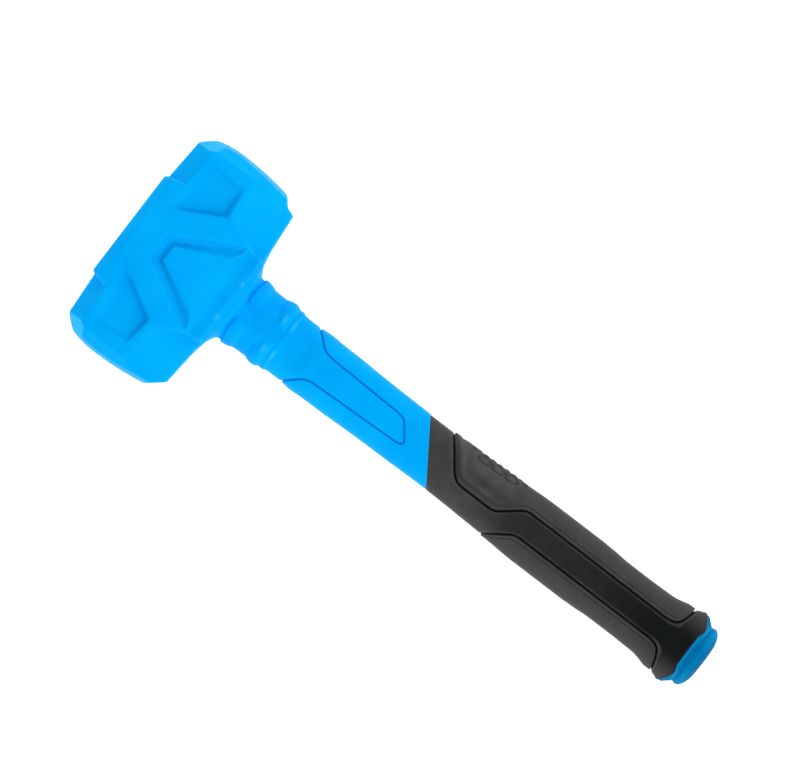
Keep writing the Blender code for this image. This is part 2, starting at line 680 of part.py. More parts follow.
def rest_tilt():
    """Angle at which the head and the flare of the grip both touch the floor."""
    drop = HEAD_DEPTH / 2 - BLOCK_SINK - FLARE_WIDTH * DEPTH_RATIO / 2
    return math.atan2(drop, FLARE_AT - SADDLE_NOSE_AT)


def seat_on_floor(root):
    """Tilt the hammer as it rests, with the bottom centre of its box at the world origin."""
    root.rotation_euler.y = rest_tilt()
    bpy.context.view_layer.update()
    depsgraph = bpy.context.evaluated_depsgraph_get()
    corners = []
    for item in bpy.context.scene.objects:
        if item.type == "MESH" and not item.hide_render:
            solid = item.evaluated_get(depsgraph)
            corners += [item.matrix_world @ vertex.co for vertex in solid.data.vertices]
    low = Vector([min(corner[axis] for corner in corners) for axis in range(3)])
    high = Vector([max(corner[axis] for corner in corners) for axis in range(3)])
    root.location = (-(low.x + high.x) / 2, -(low.y + high.y) / 2, -low.z)


def main():
    clear_scene()
    blue = make_material("cast_polyurethane", BLUE, 0.42, 0.0)
    black = make_material("sleeve_rubber", DARK, 0.55, 0.0)
    soft = make_material("pad_rubber", BLACK, 0.6, 0.0)
    steel = make_material("steel", STEEL, 0.35, 1.0)
    root = bpy.data.objects.new("hammer", None)
    bpy.context.collection.objects.link(root)
    make_casing(root, blue)
    make_canister(root, steel)
    make_shot(root, steel)
    make_core(root, steel)
    make_grip(root, black, soft)
    make_end_cap(root, blue)
    seat_on_floor(root)


main()
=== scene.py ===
import json

import bpy
import numpy as np
from mathutils import Matrix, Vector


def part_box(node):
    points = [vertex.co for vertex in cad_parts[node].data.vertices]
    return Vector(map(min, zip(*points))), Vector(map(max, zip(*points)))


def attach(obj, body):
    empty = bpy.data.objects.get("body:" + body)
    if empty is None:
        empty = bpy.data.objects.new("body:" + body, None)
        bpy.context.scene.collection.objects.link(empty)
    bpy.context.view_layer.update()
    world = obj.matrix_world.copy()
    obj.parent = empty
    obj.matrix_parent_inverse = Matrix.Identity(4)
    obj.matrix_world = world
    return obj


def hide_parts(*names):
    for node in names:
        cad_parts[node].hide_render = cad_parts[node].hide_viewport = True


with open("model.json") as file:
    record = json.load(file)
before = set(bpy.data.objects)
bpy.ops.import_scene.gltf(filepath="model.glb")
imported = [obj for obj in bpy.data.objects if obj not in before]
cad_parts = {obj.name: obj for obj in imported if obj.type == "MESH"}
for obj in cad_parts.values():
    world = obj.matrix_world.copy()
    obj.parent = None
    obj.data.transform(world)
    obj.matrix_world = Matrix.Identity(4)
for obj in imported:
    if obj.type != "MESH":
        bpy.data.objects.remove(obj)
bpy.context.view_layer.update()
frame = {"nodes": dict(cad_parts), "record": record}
mm = 0.001

# The hammer's own axes in millimetres: x down the handle to the butt, y along the striking axis
# and z out of the shown side, all counted from the point where the two axes cross.
mounts = {m["name"]: np.array(m["pos_m"]) for m in frame["record"]["mounts"]}
headTopX = -28.5  # where the head's top lies on the handle's axis
alongHandle = mounts["butt_end"] - mounts["head_top"]
alongHandle = alongHandle / np.linalg.norm(alongHandle)
acrossFaces = np.array([0.0, 1.0, 0.0])
outOfSide = np.cross(alongHandle, acrossFaces)
ownAxes = np.stack([alongHandle, acrossFaces, outOfSide])
crossing = mounts["head_top"] - alongHandle * headTopX * mm


# own millimetres to world metres: the crossing point plus each coordinate times its axis
def toWorld(points):
    return crossing + mm * (np.asarray(points, float) @ ownAxes)


# 0 below low, 1 above high, and 3t^2 - 2t^3 between them
def ease(value, low, high):
    t = np.clip((value - low) / (high - low), 0.0, 1.0)
    return t * t * (3.0 - 2.0 * t)


# the larger of two fields, rounded over a band of width k with a parabola
def roundMax(a, b, k):
    h = np.maximum(k - np.abs(a - b), 0.0) / k
    return np.maximum(a, b) + h * h * k * 0.25


# the smaller of two fields, rounded the same way
def roundMin(a, b, k):
    return -roundMax(-a, -b, k)


# signed distance of (u, v) from the line p to q, positive on the left as one walks from p to q
def beyond(u, v, p, q):
    du, dv = q[0] - p[0], q[1] - p[1]
    return ((v - p[1]) * du - (u - p[0]) * dv) / np.hypot(du, dv)


# values given at stations, joined by cubics whose slopes are the averages of the chords beside them,
# held to the smaller chord where the values turn, so that the curve never overshoots
def fairCurve(x, stations):
    xs, ys = np.array(stations, float).T
    chord = np.diff(ys) / np.diff(xs)
    slope = np.concatenate([chord[:1], 0.5 * (chord[1:] + chord[:-1]), chord[-1:]])
    turn = np.concatenate([[False], chord[1:] * chord[:-1] <= 0.0, [False]])
    slope[turn] = 0.0
    least = np.minimum(np.abs(np.append(chord, chord[-1])), np.abs(np.insert(chord, 0, chord[0])))
    slope = np.clip(slope, -3.0 * least, 3.0 * least)
    x = np.clip(x, xs[0], xs[-1])
    i = np.clip(np.searchsorted(xs, x, side="right") - 1, 0, len(xs) - 2)
    step = xs[i + 1] - xs[i]
    t = (x - xs[i]) / step
    return ((2 * t**3 - 3 * t**2 + 1) * ys[i] + (t**3 - 2 * t**2 + t) * step * slope[i]
            + (3 * t**2 - 2 * t**3) * ys[i + 1] + (t**3 - t**2) * step * slope[i + 1])


# positions from a to b whose steps follow the wanted spacing: the count per millimetre is summed up
# along the way and cut into equal shares
def spaced(a, b, spacing):
    fine = np.linspace(a, b, 4001)  # close enough for a smooth sum
    counts = np.diff(fine) / spacing(0.5 * (fine[1:] + fine[:-1]))
    total = np.concatenate([[0.0], np.cumsum(counts)])
    return np.interp(np.linspace(0.0, total[-1], int(round(total[-1])) + 1), total, fine)


# the distance from each base point along its ray to where the field turns positive, by halving
def castOut(base, ray, field, far):
    near = np.zeros(base.shape[:-1])
    far = np.full(base.shape[:-1], float(far))
    for _ in range(22):  # leaves well under a micron of a ray
        middle = 0.5 * (near + far)
        inside = field(*np.moveaxis(base + middle[..., None] * ray, -1, 0)) < 0.0
        near, far = np.where(inside, middle, near), np.where(inside, far, middle)
    return base + (0.5 * (near + far))[..., None] * ray


# A piece from a grid of points in own millimetres: rows run along it, columns go round it and the last
# column joins the first. The end rows close on their middle points. Marks are values per point that
# the materials read.
def gridPiece(name, points, material, body, nodes, marks=None):
    rows, cols = points.shape[:2]
    index = np.arange(rows * cols).reshape(rows, cols)
    nextCol = np.roll(index, -1, axis=1)
    quads = np.stack([index[:-1], nextCol[:-1], nextCol[1:], index[1:]], axis=-1).reshape(-1, 4)
    first, last = rows * cols, rows * cols + 1
    startFan = np.stack([nextCol[0], index[0], np.full(cols, first)], axis=-1)
    endFan = np.stack([index[-1], nextCol[-1], np.full(cols, last)], axis=-1)
    flat = np.concatenate([points.reshape(-1, 3), points[:1].mean(axis=1), points[-1:].mean(axis=1)])
    tris = np.concatenate([quads[:, :3], quads[:, [0, 2, 3]], startFan, endFan])
    p0, p1, p2 = flat[tris[:, 0]], flat[tris[:, 1]], flat[tris[:, 2]]
    if np.einsum("ij,ij->", p0, np.cross(p1, p2)) < 0.0:  # inside out, so every face is turned over
        quads, startFan, endFan = quads[:, ::-1], startFan[:, ::-1], endFan[:, ::-1]
    mesh = bpy.data.meshes.new(name)
    mesh.from_pydata(toWorld(flat), [], quads.tolist() + startFan.tolist() + endFan.tolist())
    mesh.polygons.foreach_set("use_smooth", np.ones(len(mesh.polygons), dtype=bool))
    for mark, values in (marks or {}).items():
        ends = [values[0].mean(), values[-1].mean()]
        attribute = mesh.attributes.new(mark, "FLOAT", "POINT")
        attribute.data.foreach_set("value", np.append(values.reshape(-1), ends).astype(np.float32))
    mesh.materials.append(material)
    piece = bpy.data.objects.new(name, mesh)
    bpy.context.scene.collection.objects.link(piece)
    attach(piece, body)
    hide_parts(*nodes)
    print(name, len(tris), "triangles")
    return piece


# sRGB hex text to linear: c / 12.92 up to 0.04045, and ((c + 0.055) / 1.055) ^ 2.4 above it
def linear(hexText):
    c = np.array([int(hexText[i:i + 2], 16) for i in (1, 3, 5)]) / 255.0
    c = np.where(c <= 0.04045, c / 12.92, ((c + 0.055) / 1.055) ** 2.4)
    return (*c.tolist(), 1.0)


# one node: settings go on the node itself, inputs take either a constant or another node's output
def addNode(tree, kind, inputs=None, **settings):
    node = tree.nodes.new(kind)
    for key, value in settings.items():
        setattr(node, key, value)
    for socket, value in (inputs or {}).items():
        if isinstance(value, bpy.types.NodeSocket):
            tree.links.new(value, node.inputs[socket])
        else:
            node.inputs[socket].default_value = value
    return node


# an empty material, its tree and the place on the surface, in metres since every piece is at the origin
def startMaterial(name):
    material = bpy.data.materials.new(name)
    material.use_nodes = True
    tree = material.node_tree
    tree.nodes.clear()
    return material, tree, addNode(tree, "ShaderNodeTexCoord").outputs["Object"]


# noise with patches about as large as the size, in millimetres
def noise(tree, place, size, detail, roughness=0.5):
    inputs = {"Vector": place, "Scale": 1000.0 / size, "Detail": detail, "Roughness": roughness}
    return addNode(tree, "ShaderNodeTexNoise", inputs).outputs["Fac"]


# a value that the piece carries at each of its points
def markOf(tree, name):
    return addNode(tree, "ShaderNodeAttribute", attribute_name=name).outputs["Fac"]


# the first colour, with a share of the second mixed in
def mixColors(tree, share, first, second):
    return addNode(tree, "ShaderNodeMix", {0: share, 6: first, 7: second}, data_type="RGBA").outputs[2]


# one value times another
def product(tree, first, second):
    return addNode(tree, "ShaderNodeMath", {0: first, 1: second}, operation="MULTIPLY").outputs[0]


# a value's span spread evenly over another one, and held at its ends
def spread(tree, value, span, result=(0.0, 1.0)):
    inputs = {"Value": value, "From Min": span[0], "From Max": span[1], "To Min": result[0], "To Max": result[1]}
    return addNode(tree, "ShaderNodeMapRange", inputs).outputs[0]


# the surface's direction over a fine relief, with its strength and its depth in millimetres
def relief(tree, height, strength, depth, under=None):
    inputs = {"Strength": strength, "Distance": depth * mm, "Height": height}
    if under is not None:
        inputs["Normal"] = under
    return addNode(tree, "ShaderNodeBump", inputs).outputs[0]


# the shader with its inputs, joined to the material's output
def finishMaterial(tree, inputs):
    skin = addNode(tree, "ShaderNodeBsdfPrincipled", inputs)
    addNode(tree, "ShaderNodeOutputMaterial", {"Surface": skin.outputs[0]})


noiseSpan = (0.3, 0.7)  # nearly all of a noise lies between these
castLook = {
    # below: the pale tone paints rubbed edges and painted highlights, the darkest tone paints painted shade
    "blue": "#00a5f6", "blotch": "#02aefc", "edge": "#35bffb", "painted_shade": "#007ad0",
    "blotchSize": 22.0, "peelSize": 1.5, "grainSize": 0.55,  # millimetres
    "cloud": (0.35, 0.65), "peelRelief": (0.25, 0.06), "grainRelief": (0.2, 0.03),
    "roughness": (0.42, 0.55), "ior": 1.5, "specular": 0.03, "tint": "#46c8ff",
}
capLook = dict(
    castLook, blue="#0070a9", blotch="#0276b1", edge="#1192cc", painted_shade="#00507a", blotchSize=14.0, peelSize=1.2,
    grainSize=0.5, roughness=(0.48, 0.6), ior=1.49, specular=0.02, tint="#1c8cc0",
)


# Cast polyurethane, poured in a mould and left as it came out: a satin blue all through, faintly
# clouded, with a soft orange peel, a fine grain, edges painted paler as rubbed wear and highlights,
# and painted shade in its sunk lines, hollows and pocket walls.
def castPolyurethane(name, look):
    material, tree, place = startMaterial(name)
    blotch = noise(tree, place, look["blotchSize"], 3.0)
    peel = noise(tree, place, look["peelSize"], 2.0)
    # the moulded grain is about 0.2 mm on the real casting, drawn coarser so that it shows
    grain = noise(tree, place, look["grainSize"], 1.0)
    cloud = spread(tree, blotch, look["cloud"])
    body = mixColors(tree, cloud, linear(look["blue"]), linear(look["blotch"]))
    # the edge mark paints edges paler, as wear and as highlight; the shade mark paints painted shade
    wearAndGlint = mixColors(tree, product(tree, markOf(tree, "edge"), peel), body, linear(look["edge"]))
    sunk = mixColors(tree, markOf(tree, "painted_shade"), wearAndGlint, linear(look["painted_shade"]))
    soft = relief(tree, peel, *look["peelRelief"])
    fine = relief(tree, grain, *look["grainRelief"], soft)
    finishMaterial(tree, {
        "Base Color": sunk, "Roughness": spread(tree, peel, noiseSpan, look["roughness"]), "IOR": look["ior"],
        "Specular IOR Level": look["specular"], "Specular Tint": linear(look["tint"]), "Normal": fine,
    })
    return material


sleeveLook = {
    # below: the pale tone paints rubbed edges and painted highlights, the dark tones paint painted shade
    "black": "#393938", "dust": "#434342", "painted_shade": "#0a0a0a", "edge": "#5a5a58", "shadeBlack": "#060c0b",
    "dustSize": 9.0, "grainSize": 0.5, "cloud": (0.4, 0.7), "grainRelief": (0.35, 0.06),
    "roughness": (0.48, 0.62), "ior": 1.5, "specular": 0.11,
}
padLook = dict(
    sleeveLook, black="#343432", dust="#3f3f3d", painted_shade="#0d0d0d", edge="#5a5a57", shadeBlack="#141414",
    dustSize=7.0, grainSize=0.65, roughness=(0.55, 0.7), specular=0.2,
)


# Moulded thermoplastic rubber: a dull black that the light greys, sparked into a fine leathery grain,
# dusty where it is handled, with painted shade blacker down the grip's middle, edges painted paler as
# rubbed wear and highlights, and painted shade down in the seams.
def mouldedRubber(name, look):
    material, tree, place = startMaterial(name)
    dust = noise(tree, place, look["dustSize"], 5.0, 0.65)
    # the spark grain is about 0.15 mm on the real grip, drawn coarser so that it shows
    cells = {"Vector": place, "Scale": 1000.0 / look["grainSize"]}
    grain = addNode(tree, "ShaderNodeTexVoronoi", cells, feature="SMOOTH_F1").outputs["Distance"]
    cloud = spread(tree, dust, look["cloud"])
    dull = mixColors(tree, cloud, linear(look["black"]), linear(look["dust"]))
    # painted shade blackens the middle strip; edges are painted paler as wear and highlight, and seams get painted
    # shade
    body = mixColors(tree, markOf(tree, "middleShade"), dull, linear(look["shadeBlack"]))
    wearAndGlint = mixColors(tree, product(tree, markOf(tree, "edge"), dust), body, linear(look["edge"]))
    sunk = mixColors(tree, markOf(tree, "painted_shade"), wearAndGlint, linear(look["painted_shade"]))
    finishMaterial(tree, {
        "Base Color": sunk, "Roughness": spread(tree, dust, noiseSpan, look["roughness"]), "IOR": look["ior"],
        "Specular IOR Level": look["specular"], "Normal": relief(tree, grain, *look["grainRelief"]),
    })
    return material


drawnLook = {
    "steel": "#b9babb", "oxide": "#8f8d8a", "patchSize": 12.0, "cloud": (0.45, 0.7),
    "lineSize": (0.6, 0.6, 30.0), "turn": (1.5708, 0.0, 0.0), "lineRelief": (0.2, 0.02), "roughness": (0.3, 0.45),
}
ballLook = dict(
    drawnLook, steel="#c0c0c2", oxide="#98969a", lineSize=(2.2, 2.2, 2.2), turn=(0.0, 0.0, 0.0),
    roughness=(0.22, 0.42),
)


# Bare carbon steel: grey metal with a thin patchy oxide. Drawn stock has fine lines along its length,
# tumbled shot has an even peened skin.
def bareSteel(name, look):
    material, tree, place = startMaterial(name)
    turned = {"Vector": place, "Rotation": look["turn"], "Scale": tuple(1000.0 / s for s in look["lineSize"])}
    lines = addNode(tree, "ShaderNodeMapping", turned).outputs[0]
    scratch = noise(tree, lines, 1000.0, 3.0)  # the lines' own scale is already in the mapping
    cloud = spread(tree, noise(tree, place, look["patchSize"], 4.0), look["cloud"])
    finishMaterial(tree, {
        "Base Color": mixColors(tree, cloud, linear(look["steel"]), linear(look["oxide"])), "Metallic": 1.0,
        "Roughness": spread(tree, scratch, noiseSpan, look["roughness"]),
        "Normal": relief(tree, scratch, *look["lineRelief"]),
    })
    return material


casting = castPolyurethane("cast_polyurethane", castLook)
capPlastic = castPolyurethane("cap_polypropylene", capLook)  # moulded, a deeper blue, with the same satin skin
sleeveRubber = mouldedRubber("sleeve_rubber", sleeveLook)
padRubber = mouldedRubber("pad_rubber", padLook)
drawnSteel = bareSteel("drawn_steel", drawnLook)
shotSteel = bareSteel("shot_steel", ballLook)
print("materials made")


headShape = {
    "halfLength": 56.4, "halfDepth": 28.0, "topX": -26.9,
    "edge": 0.8, "softEdge": 0.5,  # how wide the cast edges are rounded
    # shoulder, top corner and underside, in x and |y|
    "outline": [((-26.9, 27.2), (-25.5, 48.8)), ((-25.5, 48.8), (-19.2, 54.6)), ((29.0, 47.4), (30.6, 27.2))],
    "crown": (-6.0, 47.0, 150.0, 160.0),  # highest x, radius above and below it, radius across
    "heel": ((20.8, 54.2), (29.0, 47.4)),  # plain at one end, stepped at the other
    "heelStep": [((20.8, 54.2), (24.3, 49.6)), ((22.8, 50.2), (29.4, 47.8))], "heelRound": 0.8,
    "topChamfer": ((-26.9, 19.5), (-18.9, 28.0)),  # x and |z|
    "handleFacet": ((6.2, 28.0), (30.4, 18.5)), "facetRound": 0.4,
    "facetLean": (0.165, 46.0),  # how far it turns, about which |y|
    "rimChamfer": ((49.9, 28.0), (54.6, 22.5)),  # |y| and |z|
    "cornerCut": (20.4, 13.0, 21.9), "cutRound": 0.3,  # along x, y and z from the box's corner
    "joins": (0.3, 0.8, 0.5),  # rounding at the block, the saddle and the middle
    "trueMiddle": 0.8,  # makes a height about a distance on sloped ground
}
blockShape = {
    "top": -28.5, "half": 27.2, "depth": 27.9, "chamfer": ((-28.5, 24.1), (-24.7, 27.9)), "end": 0.0,
    "flare": (0.25, 0.97),  # growth of the half width along x, and its cosine
    "sink": (-18.0, 0.15),  # goes under the side from x on, fall per mm
}
saddleShape = {
    "flanks": [((0.0, 34.2), (7.0, 34.2)), ((7.0, 34.2), (10.5, 28.5)), ((10.5, 28.5), (21.4, 23.2)),
               ((21.4, 23.2), (31.0, 21.4))],
    "draft": 0.3, "cosines": (0.9, 0.96),  # of the arms' top and of the flanks
    "armTop": (27.9, 8.0, 0.15), "armRound": 3.0,  # height, where the arms start to fall, how fast
    "buried": (27.0, 0.3),  # rises out of the side: height at x = 0 and per mm
    "start": -6.0, "end": (30.4, 0.18, 30.0, 11.0),  # end x, its growth inwards from |y|, over how far
    "panelTop": (26.7, -5.5, 0.03), "tongue": [(26.0, 16.9, 0.13), (24.35, 29.8, 1.7)],  # height, at x, fall per mm
    "panelSide": ((-5.93, 3.65), (16.9, 14.7)), "panelTip": -5.5, "panelRound": 0.6,
    "rimSides": [((-9.6, 7.3), (13.2, 21.0)), ((13.2, 21.0), (20.5, 23.3))], "rimTip": -11.6,
    "rimRounds": (2.0, 1.2), "rimRise": 0.9,
    # the moat's depth below the slope from rim to panel and its valley's share across, each with its change along x
    "valley": (1.7, -0.03, 0.71, -0.0136), "valleyRun": 26.0, "valleyRound": 0.3, "leastMoat": 0.3,
    "tongueEdge": ((17.2, 13.8), (21.3, 20.6)), "tongueStart": 16.4, "tongueEnd": 21.2,
    "tongueRounds": (1.0, 0.5), "tongueWalls": ((1.2, 0.3), (2.0, 0.5)),  # slope and rounding, below and above
    "tongueBead": (0.3, 0.3, 0.5, 11.5, 14.0),  # height, off the edge, half width, fades in along |y|
}
endPocket = {
    # inner, handle side and top side: line, slope and rounding
    "walls": [(((6.4, 28.9), (-17.0, 16.4)), 0.75, 0.6), (((4.0, 46.0), (6.5, 29.2)), 0.7, 0.5),
              (((-18.2, 28.3), (-16.0, 43.3)), 0.3, 0.4)],
    "outer": (45.2, 0.3, 0.8),  # rim at |y|, slope and rounding
    "floor": (2.3, 4.1, 30.0, 0.055, -0.02), "lip": 0.35,  # depth, at x and |y|, growth along each
}


# how far the side is sunk at (x, |y|) beside the saddle: the least of the floor, which rises towards the
# top, and the walls, each its distance inside the wall's line times its slope, with rounded lips
def endPocketDepth(x, y):
    depthAt, x0, y0, alongX, alongY = endPocket["floor"]
    depth = depthAt + alongX * (x - x0) + alongY * (y - y0)
    for line, slope, k in endPocket["walls"]:
        depth = roundMin(depth, -slope * beyond(x, y, *line), k)
    rim, slope, k = endPocket["outer"]
    depth = roundMin(depth, slope * (rim - y), k)
    return roundMax(depth, 0.0, endPocket["lip"])


# the tongue that goes on from the panel to the neck: two straight falls, of which the lower counts
def tongueHeight(x):
    level, lip = [high - fall * (x - start) for high, start, fall in saddleShape["tongue"]]
    return roundMin(level, lip, saddleShape["tongueRounds"][0])


# how far (x, |y|) is across the moat round the middle panel, 0 at its rim and 1 at the panel's edge, from
# the distances inside the rim and outside the panel, and how deep the moat is there: straight down to the
# valley and straight up again
def moat(x, y):
    s = saddleShape
    inside = roundMin(-beyond(x, y, *s["rimSides"][0]), -beyond(x, y, *s["rimSides"][1]), s["rimRounds"][0])
    inside = roundMin(inside, x - s["rimTip"], s["rimRounds"][1])
    outside = roundMax(beyond(x, y, *s["panelSide"]), s["panelTip"] - x, s["panelRound"])
    across = np.clip(inside / np.maximum(inside + outside, s["leastMoat"]), 0.0, 1.0)
    depth, deeper, valley, shift = s["valley"]
    along = np.clip(x - s["panelTip"], 0.0, s["valleyRun"])
    valley = valley + shift * along
    sunk = roundMin(across / valley, (1.0 - across) / (1.0 - valley), s["valleyRound"])
    return across, inside, (depth + deeper * along) * sunk


# how far (x, |y|) lies on the tongue's side of the line where it closes the moat: the rounded largest of
# the distances beyond its slanted edge and its end, and none of it reaches up beside the panel
def onTongue(x, y):
    s, k = saddleShape, saddleShape["tongueRounds"][1]
    edge = roundMax(-beyond(x, y, *s["tongueEdge"]), x - s["tongueEnd"], k)
    return roundMin(edge, x - s["tongueStart"], k)


# the arms' height: level, then falling towards the handle
def armHeight(x):
    high, start, fall = saddleShape["armTop"]
    return high - fall * roundMax(x - start, 0.0, saddleShape["armRound"])


# the side's height at (x, |y|) in the middle: the slope from the arms to the panel less the moat, which the
# tongue closes with a beaded edge, and no limit outside the moat's rim
def middleHeight(x, y):
    s = saddleShape
    high, start, fall = s["panelTop"]
    across, inside, depth = moat(x, y)
    panel, arm = high - fall * (x - start), armHeight(x)
    (below, belowRound), (above, aboveRound) = s["tongueWalls"]
    ground = roundMin(panel, tongueHeight(x), belowRound)
    edge = onTongue(x, y)
    tall, off, half, fromY, toY = s["tongueBead"]
    bead = tall * np.exp(-((edge - off) / half) ** 2) * ease(y, fromY, toY)
    level = roundMax(arm + (panel - arm) * across - depth, ground + below * edge, belowRound)
    level = roundMin(level, ground + above * np.maximum(-edge, 0.0), aboveRound) + bead
    return level + s["rimRise"] * np.maximum(-inside, 0.0) * (x < s["tongueEnd"])


# the saddle's field: the arms and the tongue between bent flanks, from inside the head to the neck
def saddleField(x, wide, high):
    s, k = saddleShape, headShape["edge"]
    level, rise = s["buried"]
    top = roundMin(armHeight(x), level + rise * x, k)
    flank = beyond(x, wide, *s["flanks"][1])
    for line in s["flanks"][2:]:
        flank = roundMin(flank, beyond(x, wide, *line), k)  # the flanks bend inwards, so the widest holds
    flank = roundMax(flank, beyond(x, wide, *s["flanks"][0]), k)
    flank = flank + s["draft"] * (high - s["armTop"][0])
    field = roundMax(s["cosines"][0] * (high - top), s["cosines"][1] * flank, k)
    end, growth, fromY, run = s["end"]
    return roundMax(roundMax(field, s["start"] - x, k), x - end - growth * np.clip(fromY - wide, 0.0, run), k)


# how far a point lies beyond the plane that cuts off the head's corners, as the sum of its shares along the
# three sides of the cut
def pastCut(x, wide, high):
    h = headShape
    cx, cy, cz = h["cornerCut"]
    return -(x - h["topX"]) / cx + (wide - h["halfLength"]) / cy + (high - h["halfDepth"]) / cz + 1.0


# The head as a field that is negative inside: the rounded largest of its planes' distances for the
# casting, joined by rounded minima to the block on top and the saddle that runs into the neck, less the
# pockets. The end pockets count z from deeper down, the middle one caps the height.
def headField(x, y, z):
    h, b = headShape, blockShape
    wide = np.abs(y)
    high = np.abs(z) + endPocketDepth(x, wide)
    k, soft = h["edge"], h["softEdge"]
    peak, radiusUp, radiusDown, radiusAcross = h["crown"]
    bulge = (x - peak) ** 2 / (2.0 * np.where(x < peak, radiusUp, radiusDown))
    body = wide - h["halfLength"] + bulge + z * z / (2.0 * radiusAcross)
    for line in h["outline"]:
        body = roundMax(body, beyond(x, wide, *line), k)
    stepped = roundMin(beyond(x, wide, *h["heelStep"][0]), beyond(x, wide, *h["heelStep"][1]), h["heelRound"])
    body = roundMax(body, np.where(y > 0.0, stepped, beyond(x, wide, *h["heel"])), k)
    body = roundMax(body, beyond(x, high, *h["topChamfer"]), soft)
    turned, about = h["facetLean"]
    body = roundMax(body, beyond(x + turned * (wide - about), high, *h["handleFacet"]), h["facetRound"])
    body = roundMax(body, beyond(wide, high, *h["rimChamfer"]), soft)
    body = roundMax(body, high - h["halfDepth"], soft)
    cutSize = np.sqrt(sum(side ** -2 for side in h["cornerCut"]))
    body = roundMax(body, pastCut(x, wide, high) / cutSize, h["cutRound"])
    sinkFrom, fall = b["sink"]
    block = roundMax(b["top"] - x, high - b["depth"] + fall * np.maximum(x - sinkFrom, 0.0), k)
    flare, cosine = b["flare"]
    block = roundMax(block, cosine * (wide - b["half"] - flare * (x - b["top"])), k)
    block = roundMax(block, beyond(x, high, *b["chamfer"]), k)
    block = roundMax(block, x - b["end"], k)
    atBlock, atSaddle, atMiddle = h["joins"]
    whole = roundMin(roundMin(body, block, atBlock), saddleField(x, wide, high), atSaddle)
    return roundMax(whole, h["trueMiddle"] * (high - middleHeight(x, wide)), atMiddle)


# How a field bends and leans near a surface, from its values a short step away each way: the bend is
# their mean, positive on edges and negative in corners, and the lean is one less the share of z in
# the direction that the surface faces.
def bendAndLean(field, points, step):
    x, y, z = np.moveaxis(points, -1, 0)
    xs = field(x + step, y, z), field(x - step, y, z)
    ys = field(x, y + step, z), field(x, y - step, z)
    zs = field(x, y, z + step), field(x, y, z - step)
    slope = np.stack([a - b for a, b in (xs, ys, zs)])
    lean = 1.0 - np.abs(slope[2]) / np.maximum(np.linalg.norm(slope, axis=0), 1e-9)
    return (sum(xs) + sum(ys) + sum(zs)) / 6.0, lean


headGrid = {
    "half": 29.5, "middle": 1.0,  # the guide's half side and its middle along x
    "side": (0.5, 0.95), "along": (0.55, 0.5, 1.0),  # steps on the shown sides and the rest; along, ends, faces
    "bends": (50.0, 58.0), "end": 57.0, "reach": 86.0,  # |y| where the steps change, the guide's end, way to the pole
    "lastBase": 42.0, "far": 70.0, "bendStep": 0.8,
}
headMarks = {
    "above": 17.0,  # the marks of the shown sides lie above this |z|
    "moat": (0.3, 0.08), "moatRim": (0.0, 0.05), "moatDepth": ((0.0, 0.15), (0.6, 1.4)),  # painted shade in the moat: tone, more deep down
    "tongue": (-0.2, 0.4), "moatEdge": 1.2,  # the moat's painted shade ends at the tongue, and its rim gets no paler edge
    "walls": ((0.34, 0.02, 0.06), (0.24, 0.1, 0.22)),  # painted shade on the pocket walls: tone and the leans over which it comes in
    # painted shade in the end pockets: a light tone, the walls' tone fading in along x, all by depth
    "pocket": 0.03, "pocketDepth": (0.05, 0.4), "pocketRun": (-16.0, -11.0),
    "low": ((0.2, 22.5, 26.0), (0.1, 29.6, 30.8)), "lowSides": (-27.0, -21.0),  # painted shade on the tongue's fall towards the neck
    # the lip, where most of the edges' paleness is taken off
    "lip": (26.5, 28.5), "lipSides": (-21.0, -17.0), "lipPaleLoss": 0.8,
    "corner": (2.0, 29.4, 0.8, 9.3, 1.0),  # painted highlights on the lip's corners: tone, x and |y| with half sizes
    "cut": (1.6, -0.04, -0.01), "rubAndGlint": (0.05, 0.2),  # tone of the painted highlight on the cut corners, bends where an edge is painted paler as rubbed wear and highlight
}


